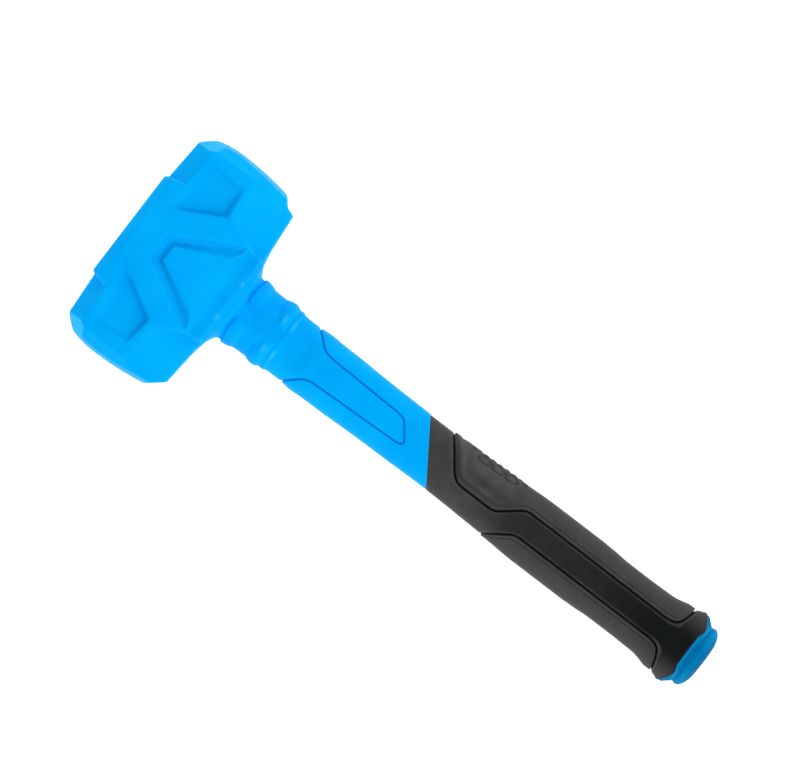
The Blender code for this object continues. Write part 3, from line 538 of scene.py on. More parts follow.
# The head is a grid round the striking axis. Each point looks out from that axis towards a guide box,
# over the striking faces from a fixed point near each end, to where the field turns positive.
def makeHead():
    g, m = headGrid, headMarks
    half = g["half"]
    nearStep, farStep = g["side"]
    sides = spaced(0.0, 8.0 * half, lambda s: np.where(
        np.abs((s % (4.0 * half)) - 2.0 * half) < half, nearStep, farStep))[:-1]
    corners = half * np.array([0.0, 1.0, 3.0, 5.0, 7.0, 8.0])  # along the guide's square
    gx = np.interp(sides, corners, half * np.array([1.0, 1.0, -1.0, -1.0, 1.0, 1.0]))
    gz = np.interp(sides, corners, half * np.array([0.0, 1.0, 1.0, -1.0, -1.0, 0.0]))
    inner, outer = g["bends"]
    run = spaced(-g["reach"], g["reach"], lambda s: np.select(
        [np.abs(s) < inner, np.abs(s) < outer], g["along"][:2], g["along"][2]))[1:-1]
    gy = np.clip(run, -g["end"], g["end"])
    grow = np.clip((g["reach"] - np.abs(run)) / (g["reach"] - g["end"]), 0.0, 1.0)[:, None]
    guide = np.stack(np.broadcast_arrays(g["middle"] + grow * gx, gy[:, None], grow * gz), axis=-1)
    base = np.zeros_like(guide)
    base[..., 0] = g["middle"]
    base[..., 1] = np.clip(gy, -g["lastBase"], g["lastBase"])[:, None]
    ray = guide - base
    ray /= np.linalg.norm(ray, axis=-1, keepdims=True)
    points = castOut(base, ray, headField, g["far"])
    x, y, z = np.moveaxis(points, -1, 0)
    bend, lean = bendAndLean(headField, points, g["bendStep"])
    wide, high = np.abs(y), np.abs(z)
    upper = (high > m["above"]) * 1.0
    across, inside, depth = moat(x, wide)
    before = ease(-onTongue(x, wide), *m["tongue"])
    # painted shade in the moat, on the pocket walls and floors, and down the tongue's fall
    tone, deeper = m["moat"]
    inMoat = upper * before * ease(across, *m["moatRim"]) * ease(depth, *m["moatDepth"][0])
    inMoat = inMoat * (tone + deeper * ease(depth, *m["moatDepth"][1]))
    wall = sum(tone * ease(lean, start, end) for tone, start, end in m["walls"])
    inPocket = upper * ease(endPocketDepth(x, wide), *m["pocketDepth"])
    inPocket = inPocket * (m["pocket"] + wall * ease(x, *m["pocketRun"]))
    low = upper * ease(-wide, *m["lowSides"]) * sum(tone * ease(x, start, end) for tone, start, end in m["low"])
    # paler edges, partly rubbed wear and partly painted highlight, none at the moat's rim and less on the lip; painted
    # highlights on the lip's corners and over the cut corners
    rim = 1.0 - before * np.exp(-((inside / m["moatEdge"]) ** 2))
    lip = upper * ease(x, *m["lip"]) * ease(-wide, *m["lipSides"])
    tone, atX, halfX, atY, halfY = m["corner"]
    paintedGlints = tone * lip * np.exp(-((x - atX) / halfX) ** 2 - ((wide - atY) / halfY) ** 2)
    tone, outOf, into = m["cut"]
    gleamOnCut = tone * ease(pastCut(x, wide, high), outOf, into)
    wearAndGlint = ease(bend, *m["rubAndGlint"]) * rim * (1.0 - m["lipPaleLoss"] * lip) + paintedGlints
    marks = {"edge": np.maximum(wearAndGlint, gleamOnCut), "painted_shade": np.maximum(np.maximum(inMoat, inPocket), low)}
    return gridPiece("head_casting", points, casting, "hammer", ["casing"], marks)


makeHead()


neckShape = {
    "power": 2.3, "depthRatio": 0.84, "flareDepth": (0.42, 7.6),  # depth over width, and less where the neck flares
    "fillet": 3.0, "drawnIn": (0.12, 19.0),  # into the head; how far it slips under the head's skin
    # half width at x, where the flare into the head fades first
    "halfWidth": [(22.0, 27.5), (26.0, 26.0), (30.4, 23.0), (31.6, 21.2), (32.8, 19.2), (34.2, 17.4), (35.6, 16.8),
                  (38.0, 16.3), (42.0, 15.9), (52.0, 15.7), (60.0, 15.5), (64.0, 15.2), (69.2, 15.2), (72.5, 15.5),
                  (76.0, 15.75), (81.6, 15.5), (95.3, 15.3), (102.0, 15.05), (115.8, 14.7), (129.5, 14.55),
                  (143.0, 14.3), (160.0, 14.1)],
    "lug": (35.9, 4.1, 57.2, 1.0),  # from x, from |y|, to x, height
    "lugBack": (1.0, 9.0, 17.0), "lugLow": (0.2, 12.0, 16.0),  # bends back and stands less proud at the sides
    "lugWalls": (0.6, 1.1, 3.5), "lugEnd": (1.4, 1.0),  # half run of its walls along and across, rounding; its end
    "lugSide": (0.5, 2.5),  # where the rings come in, off the lug's inner side
    "dish": (42.6, 50.8, 8.4, 0.55), "dishWalls": (1.6, 0.5, 1.5),  # from x, to x, from |y|, depth; half runs
    # at x, half length, height, share left in the middle
    "rings": [(38.9, 2.7, 0.35, 0.0), (54.3, 2.3, 0.5, 0.0), (59.3, 1.5, 0.6, 0.3)], "ringPower": 0.75,
    "step": (143.15, 0.675),  # the slanted joint: x on the axis, lean across
    "tang": (10.2, 8.8, 290.0), "tangLead": 14.0,  # half width, half depth, end; run from slanted to square
}
grooveLine = {
    "points": [(69.3, 16.2), (70.4, 14.3), (77.5, 8.0), (81.0, 7.1), (122.7, 5.85), (125.6, 4.8), (131.0, -2.4),
               (131.8, -3.7), (129.6, -5.2), (80.7, -6.9), (77.5, -8.0), (70.4, -14.3), (69.3, -16.2)],
    "round": 2.0, "halfWidth": 0.42, "depth": 0.75,
}


# a bent line with its corners rounded: each corner becomes a parabola that starts and ends a short way
# along the two straights, at most nearly half way
def roundedLine(points, reach):
    p = np.array(points, float)
    before, at, after = p[:-2], p[1:-1], p[2:]
    lengthIn, lengthOut = np.linalg.norm(at - before, axis=1), np.linalg.norm(after - at, axis=1)
    start = at + (before - at) * (np.minimum(reach, 0.48 * lengthIn) / lengthIn)[:, None]
    end = at + (after - at) * (np.minimum(reach, 0.48 * lengthOut) / lengthOut)[:, None]
    t = np.linspace(0.0, 1.0, 7)[None, :, None]
    bends = (1 - t) ** 2 * start[:, None] + 2 * t * (1 - t) * at[:, None] + t ** 2 * end[:, None]
    return np.concatenate([p[:1], bends.reshape(-1, 2), p[-1:]])


# the least distance from (x, y) to a bent line: for each straight, the foot of the perpendicular is held
# between its ends
def lineDistance(x, y, line):
    least = np.full(np.broadcast(x, y).shape, 1e9)
    for (ax, ay), (bx, by) in zip(line[:-1], line[1:]):
        dx, dy = bx - ax, by - ay
        t = np.clip(((x - ax) * dx + (y - ay) * dy) / max(dx * dx + dy * dy, 1e-12), 0.0, 1.0)
        least = np.minimum(least, np.hypot(x - ax - t * dx, y - ay - t * dy))
    return least


# a rounded oval's field: (|y| / a)^n + (|z| / b)^n, its nth root less one, times the smaller half size
def ovalField(y, z, a, b, power):
    size = np.minimum(a, b)
    return ((np.abs(y) / a) ** power + (np.abs(z) / b) ** power) ** (1.0 / power) * size - size


panelLine = roundedLine(grooveLine["points"], grooveLine["round"])


# how far the shank's panel line is felt at (x, y): one on it, falling off as a bell curve
def onPanelLine(x, y):
    return np.exp(-((lineDistance(x, y, panelLine) / grooveLine["halfWidth"]) ** 2))


# The handle as a field: an oval whose half width follows the stations, with raised lugs, dished and
# ringed, on the neck's two sides and the sunk panel line along the shank.
def handleField(x, y, z):
    n = neckShape
    a = fairCurve(x, n["halfWidth"])
    share, extra = n["flareDepth"]
    field = ovalField(y, z, a, np.minimum(n["depthRatio"] * a, share * a + extra), n["power"])
    wide = np.abs(y)
    start, inner, end, rise = n["lug"]
    back, backFrom, backTo = n["lugBack"]
    start = start + back * ease(wide, backFrom, backTo)
    runX, runY, k = n["lugWalls"]
    after, ahead = n["lugEnd"]
    lug = ease(roundMin((x - start) / runX, (wide - inner) / runY, k), -1.0, 1.0) * ease(-x, -end - after, -end + ahead)
    less, lessFrom, lessTo = n["lugLow"]
    low = 1.0 - less * ease(wide, lessFrom, lessTo)
    field = field - rise * low * lug
    side = ease(wide, inner - n["lugSide"][0], inner + n["lugSide"][1])
    start, end, inner, depth = n["dish"]
    runIn, runOut, runY = n["dishWalls"]
    dish = depth * ease(wide, inner - runY, inner + runY) * ease(x, start - runIn, start + runIn)
    field = field + dish * ease(-x, -end - runOut, -end + runOut)
    for at, half, height, left in n["rings"]:
        ring = np.clip(1.0 - ((x - at) / half) ** 2, 0.0, 1.0) ** n["ringPower"]
        field = field - height * low * (left + (1.0 - left) * side) * ring
    return field + grooveLine["depth"] * onPanelLine(x, y)


# the casting below the head: the handle joined to the head with a rounded minimum, and the head itself
# drawn in a little away from the neck, so that this piece slips under the head's skin
def neckField(x, y, z):
    growth, fromAxis = neckShape["drawnIn"]
    away = growth * np.maximum(np.hypot(y, z) - fromAxis, 0.0)
    return roundMin(headField(x, y, z) + away, handleField(x, y, z), neckShape["fillet"])


neckGrid = {
    "turn": (36.0, 1.0, 2.3),  # degrees off the shown sides, steps there and beyond
    "swing": (12.0, 38.0, 34.0, 55),  # base from x to x, degrees of the first rays, rows
    "along": [(64.0, 0.34), (69.0, 0.6), (82.5, 0.28), (120.0, 0.9), (133.0, 0.3)], "rest": 0.6,  # steps up to x
    "slantFrom": 84.0, "far": 60.0, "bendStep": 0.5,
}
neckMarks = {
    "line": (0.9, 60.0), "hollow": (0.22, 0.06, 0.3),  # painted shade in the panel line: tone and from x; painted shade in hollows: tone and bends
    "root": (0.12, (-36.5, -33.0), (8.0, 12.0)),  # painted shade in the hollow under the head: tone, fades along -x and |z|
    "ringGlints": (1.4, 0.4, 0.7, 8.2, 2.0),  # painted highlights on the rings: tone, off x, half run, |y|, half run
    "rubAndGlint": (0.12, 0.3, 33.0),  # bends where an edge is painted paler, as rubbed wear and highlight, from x
}


# The neck and shank are a grid round the handle's axis. The first rays lean towards the head's underside
# and come upright along the neck, and the last rows lean over into the slanted joint. Behind the joint
# the rows step in to the tang, which carries the grip.
def makeNeck():
    n, g, m = neckShape, neckGrid, neckMarks
    near, step, wideStep = g["turn"]
    turn = spaced(0.0, 360.0, lambda a: np.where(np.abs((a % 180.0) - 90.0) < near, step, wideStep))
    turn = np.radians(turn[:-1])
    fromX, toX, firstTilt, rows = g["swing"]
    swing = np.linspace(0.0, 1.0, rows + 1)[:-1]
    jointX, lean = n["step"]
    ends, steps = zip(*g["along"])
    along = spaced(toX, jointX, lambda x: np.select([x < end for end in ends], steps, g["rest"]))
    baseX = np.concatenate([fromX + (toX - fromX) * swing, along])
    tilt = np.concatenate([np.radians(firstTilt) * (1.0 - swing), np.zeros_like(along)])[:, None]
    slant = np.concatenate([np.zeros_like(swing), lean * ease(along, g["slantFrom"], jointX)])[:, None]
    cos, sin = np.cos(turn)[None], np.sin(turn)[None]
    rayX = np.sin(tilt) - slant * cos * np.cos(tilt)
    ray = np.stack(np.broadcast_arrays(rayX, np.cos(tilt) * cos, np.cos(tilt) * sin), axis=-1)
    ray /= np.linalg.norm(ray, axis=-1, keepdims=True)
    base = np.zeros_like(ray)
    base[..., 0] = baseX[:, None]
    points = castOut(base, ray, neckField, g["far"])
    bend, _ = bendAndLean(neckField, points, g["bendStep"])
    x, y, z = np.moveaxis(points, -1, 0)
    # painted shade in the panel line, in the hollows and under the head
    tone, fromX = m["line"]
    painted_shade = tone * (onPanelLine(x, y) * (x > fromX))
    tone, start, end = m["hollow"]
    painted_shade = painted_shade + tone * ease(-bend, start, end)
    tone, fadeX, fadeZ = m["root"]
    painted_shade = painted_shade + tone * ease(-x, *fadeX) * ease(np.abs(z), *fadeZ)
    # painted highlights on the rings, and edges painted paler as wear and highlight
    tone, behind, halfX, atY, halfY = m["ringGlints"]
    paintedGlints = sum(np.exp(-(((x - at - behind) / halfX) ** 2 + ((np.abs(y) - atY) / halfY) ** 2))
                 for at, _, _, _ in n["rings"][1:])
    start, end, fromX = m["rubAndGlint"]
    marks = {"edge": tone * paintedGlints + ease(bend, start, end) * (x > fromX), "painted_shade": np.clip(painted_shade, 0.0, 1.0)}
    # the tang: the joint's rows shrink to its oval, then stand square at its end
    tangA, tangB, tangEnd = n["tang"]
    size = ((np.abs(cos) / tangA) ** 2 + (np.abs(sin) / tangB) ** 2) ** -0.5
    tangX = np.array([jointX, jointX + n["tangLead"], tangEnd])[:, None]
    tangSlant = np.array([lean, 0.0, 0.0])[:, None]
    y, z = np.broadcast_to(size * cos, (3, len(turn))), np.broadcast_to(size * sin, (3, len(turn)))
    points = np.concatenate([points, np.stack([tangX - tangSlant * y, y, z], axis=-1)])
    marks = {k: np.concatenate([v, np.zeros((3, len(turn)))]) for k, v in marks.items()}
    return gridPiece("neck_and_shank_casting", points, casting, "hammer", ["casing"], marks)


makeNeck()


gripShape = {
    "power": 2.3, "depthRatio": 0.84, "joint": (142.9, 0.675), "grid": (392, 240), "rearX": 292.0,
    "halfWidth": [(132.0, 14.2), (143.2, 14.2), (152.3, 14.25), (163.7, 14.45), (172.8, 14.7), (184.2, 15.05),
                  (193.3, 15.3), (204.7, 15.7), (227.5, 15.75), (238.9, 15.5), (245.8, 15.1), (259.5, 15.05),
                  (266.3, 15.2), (273.1, 15.5), (277.7, 16.3), (280.9, 16.75), (283.2, 17.1), (284.5, 17.5),
                  (285.9, 17.95), (287.4, 18.45), (288.6, 18.65), (290.4, 18.6), (293.6, 17.9)],
    "channel": (6.6, 0.55), "channelRun": (186.0, 198.0, 276.0, 284.0),  # half width and depth, fades along x
    # |y|, x where the black ends
    "rearEdge": [(0.0, 291.8), (7.8, 291.9), (8.6, 292.0), (11.0, 292.95), (11.9, 293.1), (12.9, 292.8),
                 (14.5, 292.2), (16.1, 291.4), (18.2, 289.9), (18.8, 289.2)],
    "seam": 0.42, "seamDepth": 1.1, "seamWall": (0.12, 0.22),  # half the seam, its depth, the wall's run
    "seamEnds": (0.75, (0.84, 0.97), (-0.6, -0.1)),  # shallower at the outline: share, over |y| / a, off the seam
    "bead": (0.95, 0.34, 0.3, 274.0, 278.0),  # off the seam, half width, height, fades in along x
    "rolls": ((0.5, 0.9965), (0.12, 0.004)),  # rear and front edges rolled in: depth, share of the length
    "tuck": (1.5, 0.8),  # back under itself at the cap: along x, share of the size
}
gripMarks = {
    "middleShade": ((165.0, 196.0), (16.0, 4.0)),  # painted shade down the middle: fades in along x, out across
    "middleShadeWider": (4.0, 277.0, 285.0), "middleShadeMore": (0.65, 0.35, 210.0, 284.0),
    "crease": (0.6, 1.2, 0.35, 274.0, 279.0),  # painted shade in a line behind the bead: tone, off it, half width, fade in
    "rubAndGlint": (0.5, 0.45, 0.4), "beadGlint": 2.0,  # paler beside the seam, as rubbed wear and painted highlight: tone, off it, half width; the bead's painted highlight
    # painted shade in the seam and along the rear edge under the cap
    "seam": (0.1, 0.15), "rear": (0.5, 0.984, 0.998),
}
padShape = {
    "halfWidth": [(140.0, 14.6), (147.7, 14.75), (156.9, 14.85), (170.5, 15.05), (177.4, 15.35), (191.1, 15.75),
                  (197.9, 16.1), (204.7, 16.25), (227.5, 16.25), (238.9, 15.95), (245.8, 15.5), (259.5, 15.45),
                  (266.3, 15.6), (273.1, 15.85), (277.7, 16.85), (280.4, 17.45), (281.8, 17.45), (286.0, 17.45)],
    "thickness": 2.0, "columns": 151, "bunched": 0.6,  # how much closer the columns stand towards the seams
    "welt": (1.75, 0.28), "weltWall": (0.1, 0.25), "roll": (0.5, 0.75),  # reach and drop of welt and rolled edge
    "thumbEdge": [(140.0, 23.8), (147.4, 14.0), (158.9, -1.2), (162.6, -3.5), (182.2, -3.5), (184.9, -2.2),
                  (193.9, 5.5), (196.2, 6.3), (275.5, 6.0), (279.3, 6.8), (280.8, 7.8), (282.2, 9.8), (283.4, 13.7),
                  (283.9, 16.6), (284.4, 20.0)],
    "fingerEdge": [(170.0, 25.7), (184.4, 15.2), (196.4, 6.6), (199.4, 5.95), (275.4, 5.9), (279.3, 6.9),
                   (281.5, 9.8), (282.9, 12.9), (283.7, 16.5), (284.4, 20.0)],
    "thumbEnds": (147.7, 283.2), "fingerEnds": (184.8, 283.4),  # first and last x
    "startStep": (5.0, 0.2), "endStep": (10.0, 0.25), "thumbStep": (192.0, 0.3), "step": 0.7,  # run or x, step
    "edgeRun": (1.6, 9), "slopeStep": 0.3,  # running mean over the outline, and how its slope is taken
}
thumbShape = {
    "fade": (181.0, 189.0), "rise": (0.3, 1.0, 0.6),  # ends along x; height, off the seam, short of the rim
    "crease": (2.7, 0.3, 0.2, 157.0, 163.0),  # off the seam, half width, depth, fades in along x
    "rim": 5.7, "dish": 0.55, "dishWalls": (0.3, 0.5, 0.8, 5.5),  # off the seam, depth, its walls off the rim
    "first": 161.6, "pitch": 7.75, "count": 3, "rowPitch": 3.2, "rows": (-3.0, 2.0), "tall": 1.5,  # the scales
    "scale": (0.4, 0.64, 0.7), "sunk": 0.9,  # half sizes over the pitches, power; share below the skin
    "oval": (-0.5, -0.15), "sides": (3.6, 2.8),  # where the sunk field ends: round end scales, in rows
}
padMarks = {
    "weltLine": (0.45, 0.05, 0.22), "weltTone": (0.12, 0.2),  # painted shade along the welt: tone, off its edge, half width; tone, run
    # how much the rest lightens the painted shade; painted shade in its crease and at its tip
    "restTone": 0.7, "creaseTone": 0.4, "tip": (0.45, (-163.0, -158.0), (-3.4, -0.8)),
    "scaleLine": (0.25, 0.75, 0.1, 0.32), "scaleSide": (0.1, 0.7),  # painted shade round the scales: tone, more on the shaded side, off it, half width
    # paler along the bevel and on the scales' tops, painted highlights with some rubbed wear; painted shade at the seam
    "rubAndGlint": (0.6, 0.9, 0.3), "scaleGlint": 0.4, "seam": 0.35,
    # paler along the rest's rim as wear and highlight, and painted light towards the pad's outer side
    "rimRubAndGlint": (0.45, 1.4, 0.8), "thumbSideLight": (0.5, 3.5, 7.5),
}


# a bell curve: one at the place, and e to minus the square of the distance over the half width
def bell(value, place, half):
    return np.exp(-(((value - place) / half) ** 2))


# points on a rounded oval and the way they face: y = a |cos t|^(2/n), z = b |sin t|^(2/n) with the signs kept,
# facing (|y/a|^(n-1) / a, |z/b|^(n-1) / b)
def oval(turn, a, b, power):
    cos, sin = np.cos(turn), np.sin(turn)
    y = a * np.sign(cos) * np.abs(cos) ** (2.0 / power)
    z = b * np.sign(sin) * np.abs(sin) ** (2.0 / power)
    ny = np.sign(y) * np.abs(y / a) ** (power - 1.0) / a
    nz = np.sign(z) * np.abs(z / b) ** (power - 1.0) / b
    size = np.hypot(ny, nz)
    return y, z, ny / size, nz / size


# a pad's outline: the y at which its seam runs, for each x, with its corners eased by a running mean
def padEdge(x, stations):
    xs, ys = np.array(stations, float).T
    reach, count = padShape["edgeRun"]
    return np.mean([np.interp(x + s, xs, ys) for s in np.linspace(-reach, reach, count)], axis=0)


# how much shorter a step square to a pad's outline is than one along y: one over the root of one plus its
# slope squared
def squareTo(x, stations):
    step = padShape["slopeStep"]
    slope = (padEdge(x + step, stations) - padEdge(x - step, stations)) / (2.0 * step)
    return 1.0 / np.sqrt(1.0 + slope * slope)


# how far (x, y) lies inside a pad's outline, square to it
def insidePad(x, y, stations):
    return (y - padEdge(x, stations)) * squareTo(x, stations)


# The sleeve is a grid of ovals along the handle. Its first rows lean into the slanted joint, its last row
# follows the edge against the cap, it sinks under both pads, and a channel runs down between them.
def makeSleeve():
    g, m, seam = gripShape, gripMarks, gripShape["seam"]
    rows, columns = g["grid"]
    turn = np.linspace(0.0, 2.0 * np.pi, columns + 1)[:-1][None]
    share = np.linspace(0.0, 1.0, rows)[:, None]
    jointX, lean = g["joint"]
    edgeAt = np.array(g["rearEdge"]).T
    x = jointX + (g["rearX"] - jointX) * share + 0.0 * turn
    for _ in range(4):  # a row's lean and the oval's size depend on each other
        a = fairCurve(x, g["halfWidth"])
        y, z, ny, nz = oval(turn, a, g["depthRatio"] * a, g["power"])
        front = jointX - lean * y
        x = front + (np.interp(np.abs(y), *edgeAt) - front) * share
    wide = np.abs(y)
    inside = np.maximum(insidePad(x, y, padShape["thumbEdge"]), insidePad(x, -y, padShape["fingerEdge"]))
    sink = g["seamDepth"] * ease(inside, -seam - g["seamWall"][0], -seam + g["seamWall"][1])
    less, atOutline, atSeam = g["seamEnds"]
    sink = sink * (1.0 - less * ease(wide / a, *atOutline) * ease(-inside, *atSeam))
    half, depth = g["channel"]
    fadeIn, fullIn, fullOut, fadeOut = g["channelRun"]
    dip = depth * np.clip(1.0 - (y / half) ** 2, 0.0, 1.0) * ease(x, fadeIn, fullIn) * ease(-x, -fadeOut, -fullOut)
    off, halfBead, height, fromX, toX = g["bead"]
    bead = height * bell(inside, -seam - off, halfBead) * ease(x, fromX, toX)
    (rear, rearShare), (nose, noseShare) = g["rolls"]
    out = bead - sink - dip - rear * ease(share, rearShare, 1.0) - nose * (1.0 - ease(share, 0.0, noseShare))
    points = np.stack([x, y + ny * out, z + nz * out], axis=-1)
    tuck = points[-1:].copy()  # behind the edge the skin turns in under the cap's rim
    tuck[..., 0] -= g["tuck"][0]
    tuck[..., 1:] *= g["tuck"][1]
    # painted shade down the middle strip, stronger towards the butt
    fadeIn, (outer, inner) = m["middleShade"]
    more, fromX, toX = m["middleShadeWider"]
    outer = outer + more * ease(x, fromX, toX)
    least, more, fromX, toX = m["middleShadeMore"]
    middleShade = ease(x, *fadeIn) * ease(-wide, -outer, -inner) * (least + more * ease(x, fromX, toX))
    # painted shade in a crease behind the bead and at the rear edge
    tone, behind, halfLine, fromX, toX = m["crease"]
    rearTone, rearFrom, rearTo = m["rear"]
    line = tone * (bell(inside, -seam - off - behind, halfLine) * ease(x, fromX, toX))
    line = line + rearTone * ease(share, rearFrom, rearTo)
    # paler beside the seam as wear and highlight, and a painted highlight on the bead
    tone, beside, halfPale = m["rubAndGlint"]
    marks = {"edge": tone * bell(inside, -seam - beside, halfPale) + m["beadGlint"] * bead,
             "painted_shade": np.maximum(ease(inside, -seam - m["seam"][0], -seam + m["seam"][1]), line), "middleShade": middleShade}
    marks = {k: np.concatenate([v, v[-1:]]) for k, v in marks.items()}
    points = np.concatenate([points, tuck])
    return gridPiece("grip_sleeve_skin", points, sleeveRubber, "hammer", ["grip_sleeve"], marks)


# The raised rest for the thumb, added to a pad's height and marks: a low platform with a crease along the seam
# and a dish behind its rim. On it stand staggered rows of scales, each one less the squares of its
# distances along and across, to a power, in a field sunk below the skin that follows the end scales' ovals.
def addThumbRest(x, y, inside, fromEdge, height, paintedDark, wearAndGlint):
    s, m = thumbShape, padMarks
    rest = ease(-x, -s["fade"][1], -s["fade"][0])
    place, half, deep, fromX, toX = s["crease"]
    line = bell(inside, place, half)
    lineOn = ease(x, fromX, toX)
    rim, (out, over, back, run) = s["rim"], s["dishWalls"]
    hollow = ease(inside, rim - out, rim + over) * (1.0 - ease(inside, rim + back, rim + run))
    rise, riseFrom, short = s["rise"]
    height = height + rest * (rise * ease(inside, riseFrom, rim - short) - deep * line * lineOn - s["dish"] * hollow)
    # painted shade at the rest's tip and in its crease, less elsewhere on the rest
    tone, alongX, offSeam = m["tip"]
    tip = tone * ease(-x, *alongX) * ease(-inside, *offSeam)
    paintedDark = paintedDark * (1.0 - m["restTone"] * rest) + rest * (m["creaseTone"] * line * lineOn + tip)
    pitch, rowPitch = s["pitch"], s["rowPitch"]
    row = np.clip(np.floor(fromEdge / rowPitch), *s["rows"])
    shift = 0.5 * pitch * np.mod(row, 2.0)  # every other row is half a scale longer at both ends
    halfLength, halfWidth, power = s["scale"]
    along = np.mod((x - s["first"] + shift) / pitch, 1.0) - 0.5
    across = (fromEdge - (row + 0.5) * rowPitch) / (halfWidth * rowPitch)
    nearness = 1.0 - (along / halfLength) ** 2 - across ** 2
    start, end = s["first"] - shift, s["first"] + s["count"] * pitch + shift
    outermost = np.maximum(start - x, x - end) > -0.5 * pitch
    patch = np.where(outermost, ease(nearness, *s["oval"]), 1.0) * (x > start) * (x < end)
    scaly = np.clip(nearness, 0.0, 1.0) ** power * patch
    patch = patch * ease(-np.abs(fromEdge), -s["sides"][0] * rowPitch, -s["sides"][1] * rowPitch)
    height = height + s["tall"] * (scaly - s["sunk"] * patch)
    # painted shade round each scale, more on its shaded side
    tone, more, place, half = m["scaleLine"]
    shaded = ease(across * np.sign(fromEdge), *m["scaleSide"])  # the side away from the grip's edge lies in shade
    paintedDark = np.maximum(paintedDark, (tone + more * shaded) * patch * bell(nearness, -place, half))
    tone, off, half = m["rimRubAndGlint"]
    most, fromY, toY = m["thumbSideLight"]
    rubAndGlint = tone * bell(inside, rim - off, half) + most * ease(y, fromY, toY)  # paler along the rim, and painted light towards the pad's outer edge
    return height, paintedDark, wearAndGlint + m["scaleGlint"] * scaly + rest * rubAndGlint


# A pad is a band wrapped over one edge of the grip, from its seam on the front to its seam on the back.
# Each row is a closed loop: the outer skin, which bevels and rolls down to the seam by the distance
# from it, and the underside one thickness below.
def makePad(name, node, stations, side, ends, thumb):
    g, p, m = gripShape, padShape, padMarks
    x = spaced(*ends, lambda v: np.select(
        [v < ends[0] + p["startStep"][0], v > ends[1] - p["endStep"][0], (v < p["thumbStep"][0]) & thumb],
        [p["startStep"][1], p["endStep"][1], p["thumbStep"][1]], p["step"]))[:, None]
    even = np.linspace(-1.0, 1.0, p["columns"])[None]
    share = p["bunched"] * np.sin(0.5 * even * np.pi) + (1.0 - p["bunched"]) * even
    a = fairCurve(x, p["halfWidth"])
    square = squareTo(x, stations)
    edge = padEdge(x, stations) + g["seam"] / square
    ratio = np.clip(edge / a, -0.98, 1.0)
    reach = np.arccos(np.sign(ratio) * np.abs(ratio) ** (g["power"] / 2.0))
    y, z, ny, nz = oval(reach * share, a, g["depthRatio"] * a, g["power"])
    steps = np.hypot(np.diff(y, axis=1), np.diff(z, axis=1))
    run = np.concatenate([np.zeros_like(x), np.cumsum(steps, axis=1)], axis=1)
    inside = np.minimum(run, run[:, -1:] - run) * square
    fromEdge = run - 0.5 * run[:, -1:]  # counted from the grip's edge, front and back
    reach, drop = p["welt"]
    rollRun, rollDrop = p["roll"]
    height = -drop * (1.0 - ease(inside, reach - p["weltWall"][0], reach + p["weltWall"][1]))
    height = height - rollDrop * (1.0 - ease(inside, 0.0, rollRun))
    # painted shade along the welt
    tone, off, half = m["weltLine"]
    paintedDark = tone * bell(inside, reach - off, half)
    paintedDark = paintedDark + m["weltTone"][0] * ease(-inside, -reach, -reach + m["weltTone"][1])
    # paler along the bevel: painted highlight with some rubbed wear
    tone, off, half = m["rubAndGlint"]
    wearAndGlint = tone * bell(inside, off, half)
    if thumb:
        height, paintedDark, wearAndGlint = addThumbRest(x, y, inside, fromEdge, height, paintedDark, wearAndGlint)
    under = np.broadcast_arrays(x, side * (y - p["thickness"] * ny), z - p["thickness"] * nz)
    over = np.broadcast_arrays(x, side * (y + height * ny), z + height * nz)
    points = np.concatenate([np.stack(over, axis=-1), np.stack(under, axis=-1)[:, ::-1]], axis=1)
    # painted shade at the seam, and fully dark on the underside
    paintedDark = np.maximum(paintedDark, 1.0 - ease(inside, 0.0, m["seam"]))
    marks = {"edge": np.concatenate([wearAndGlint, np.zeros_like(wearAndGlint)], axis=1),
             "painted_shade": np.concatenate([paintedDark, np.ones_like(paintedDark)], axis=1)}
    return gridPiece(name, points, padRubber, "hammer", [node], marks)


makeSleeve()
makePad("thumb_pad_skin", "thumb_pad", padShape["thumbEdge"], 1.0, padShape["thumbEnds"], True)
makePad("finger_pad_skin", "finger_pad", padShape["fingerEdge"], -1.0, padShape["fingerEnds"], False)


capShape = {
    "power": 2.4, "grid": (130, 160),
    "depthRatio": [(284.0, 0.76), (290.0, 0.78), (292.4, 0.8), (294.3, 0.865), (294.9, 0.88), (295.5, 0.873),
                   (296.3, 0.86), (301.0, 0.86)],
    "halfWidth": [(284.0, 15.0), (287.0, 17.7), (288.8, 18.45), (290.2, 18.45), (292.4, 16.9), (294.3, 15.35),
                  (294.9, 15.1), (295.5, 15.3), (296.3, 15.55), (297.3, 15.3), (298.6, 14.1), (299.6, 12.4),
                  (300.3, 10.4), (300.7, 8.2), (300.9, 5.0), (301.0, 1.5)],
}
capMarks = {
    "painted_shade": (0.4, 294.9, 0.5, 3.0, 9.0),  # painted shade in the fine groove: tone, x, half width, fades in along |y|
    "end": (0.6, 297.0, 300.0),  # painted shade on the butt's face: tone, fades in along x
    "under": (0.6, (-293.6, -292.6), (9.0, 14.0)),  # in the sleeve's shade at the sides: fades along -x and |y|
    "rubAndGlint": (1.6, 0.7, 0.4),  # paler along the sleeve's edge, as rubbed wear and painted highlight: tone, off it, half width
    "knobSideLight": (0.9, (4.0, 11.0), (292.5, 294.5)),  # painted light on the knob's sides: tone, fades in along |y| and x
}


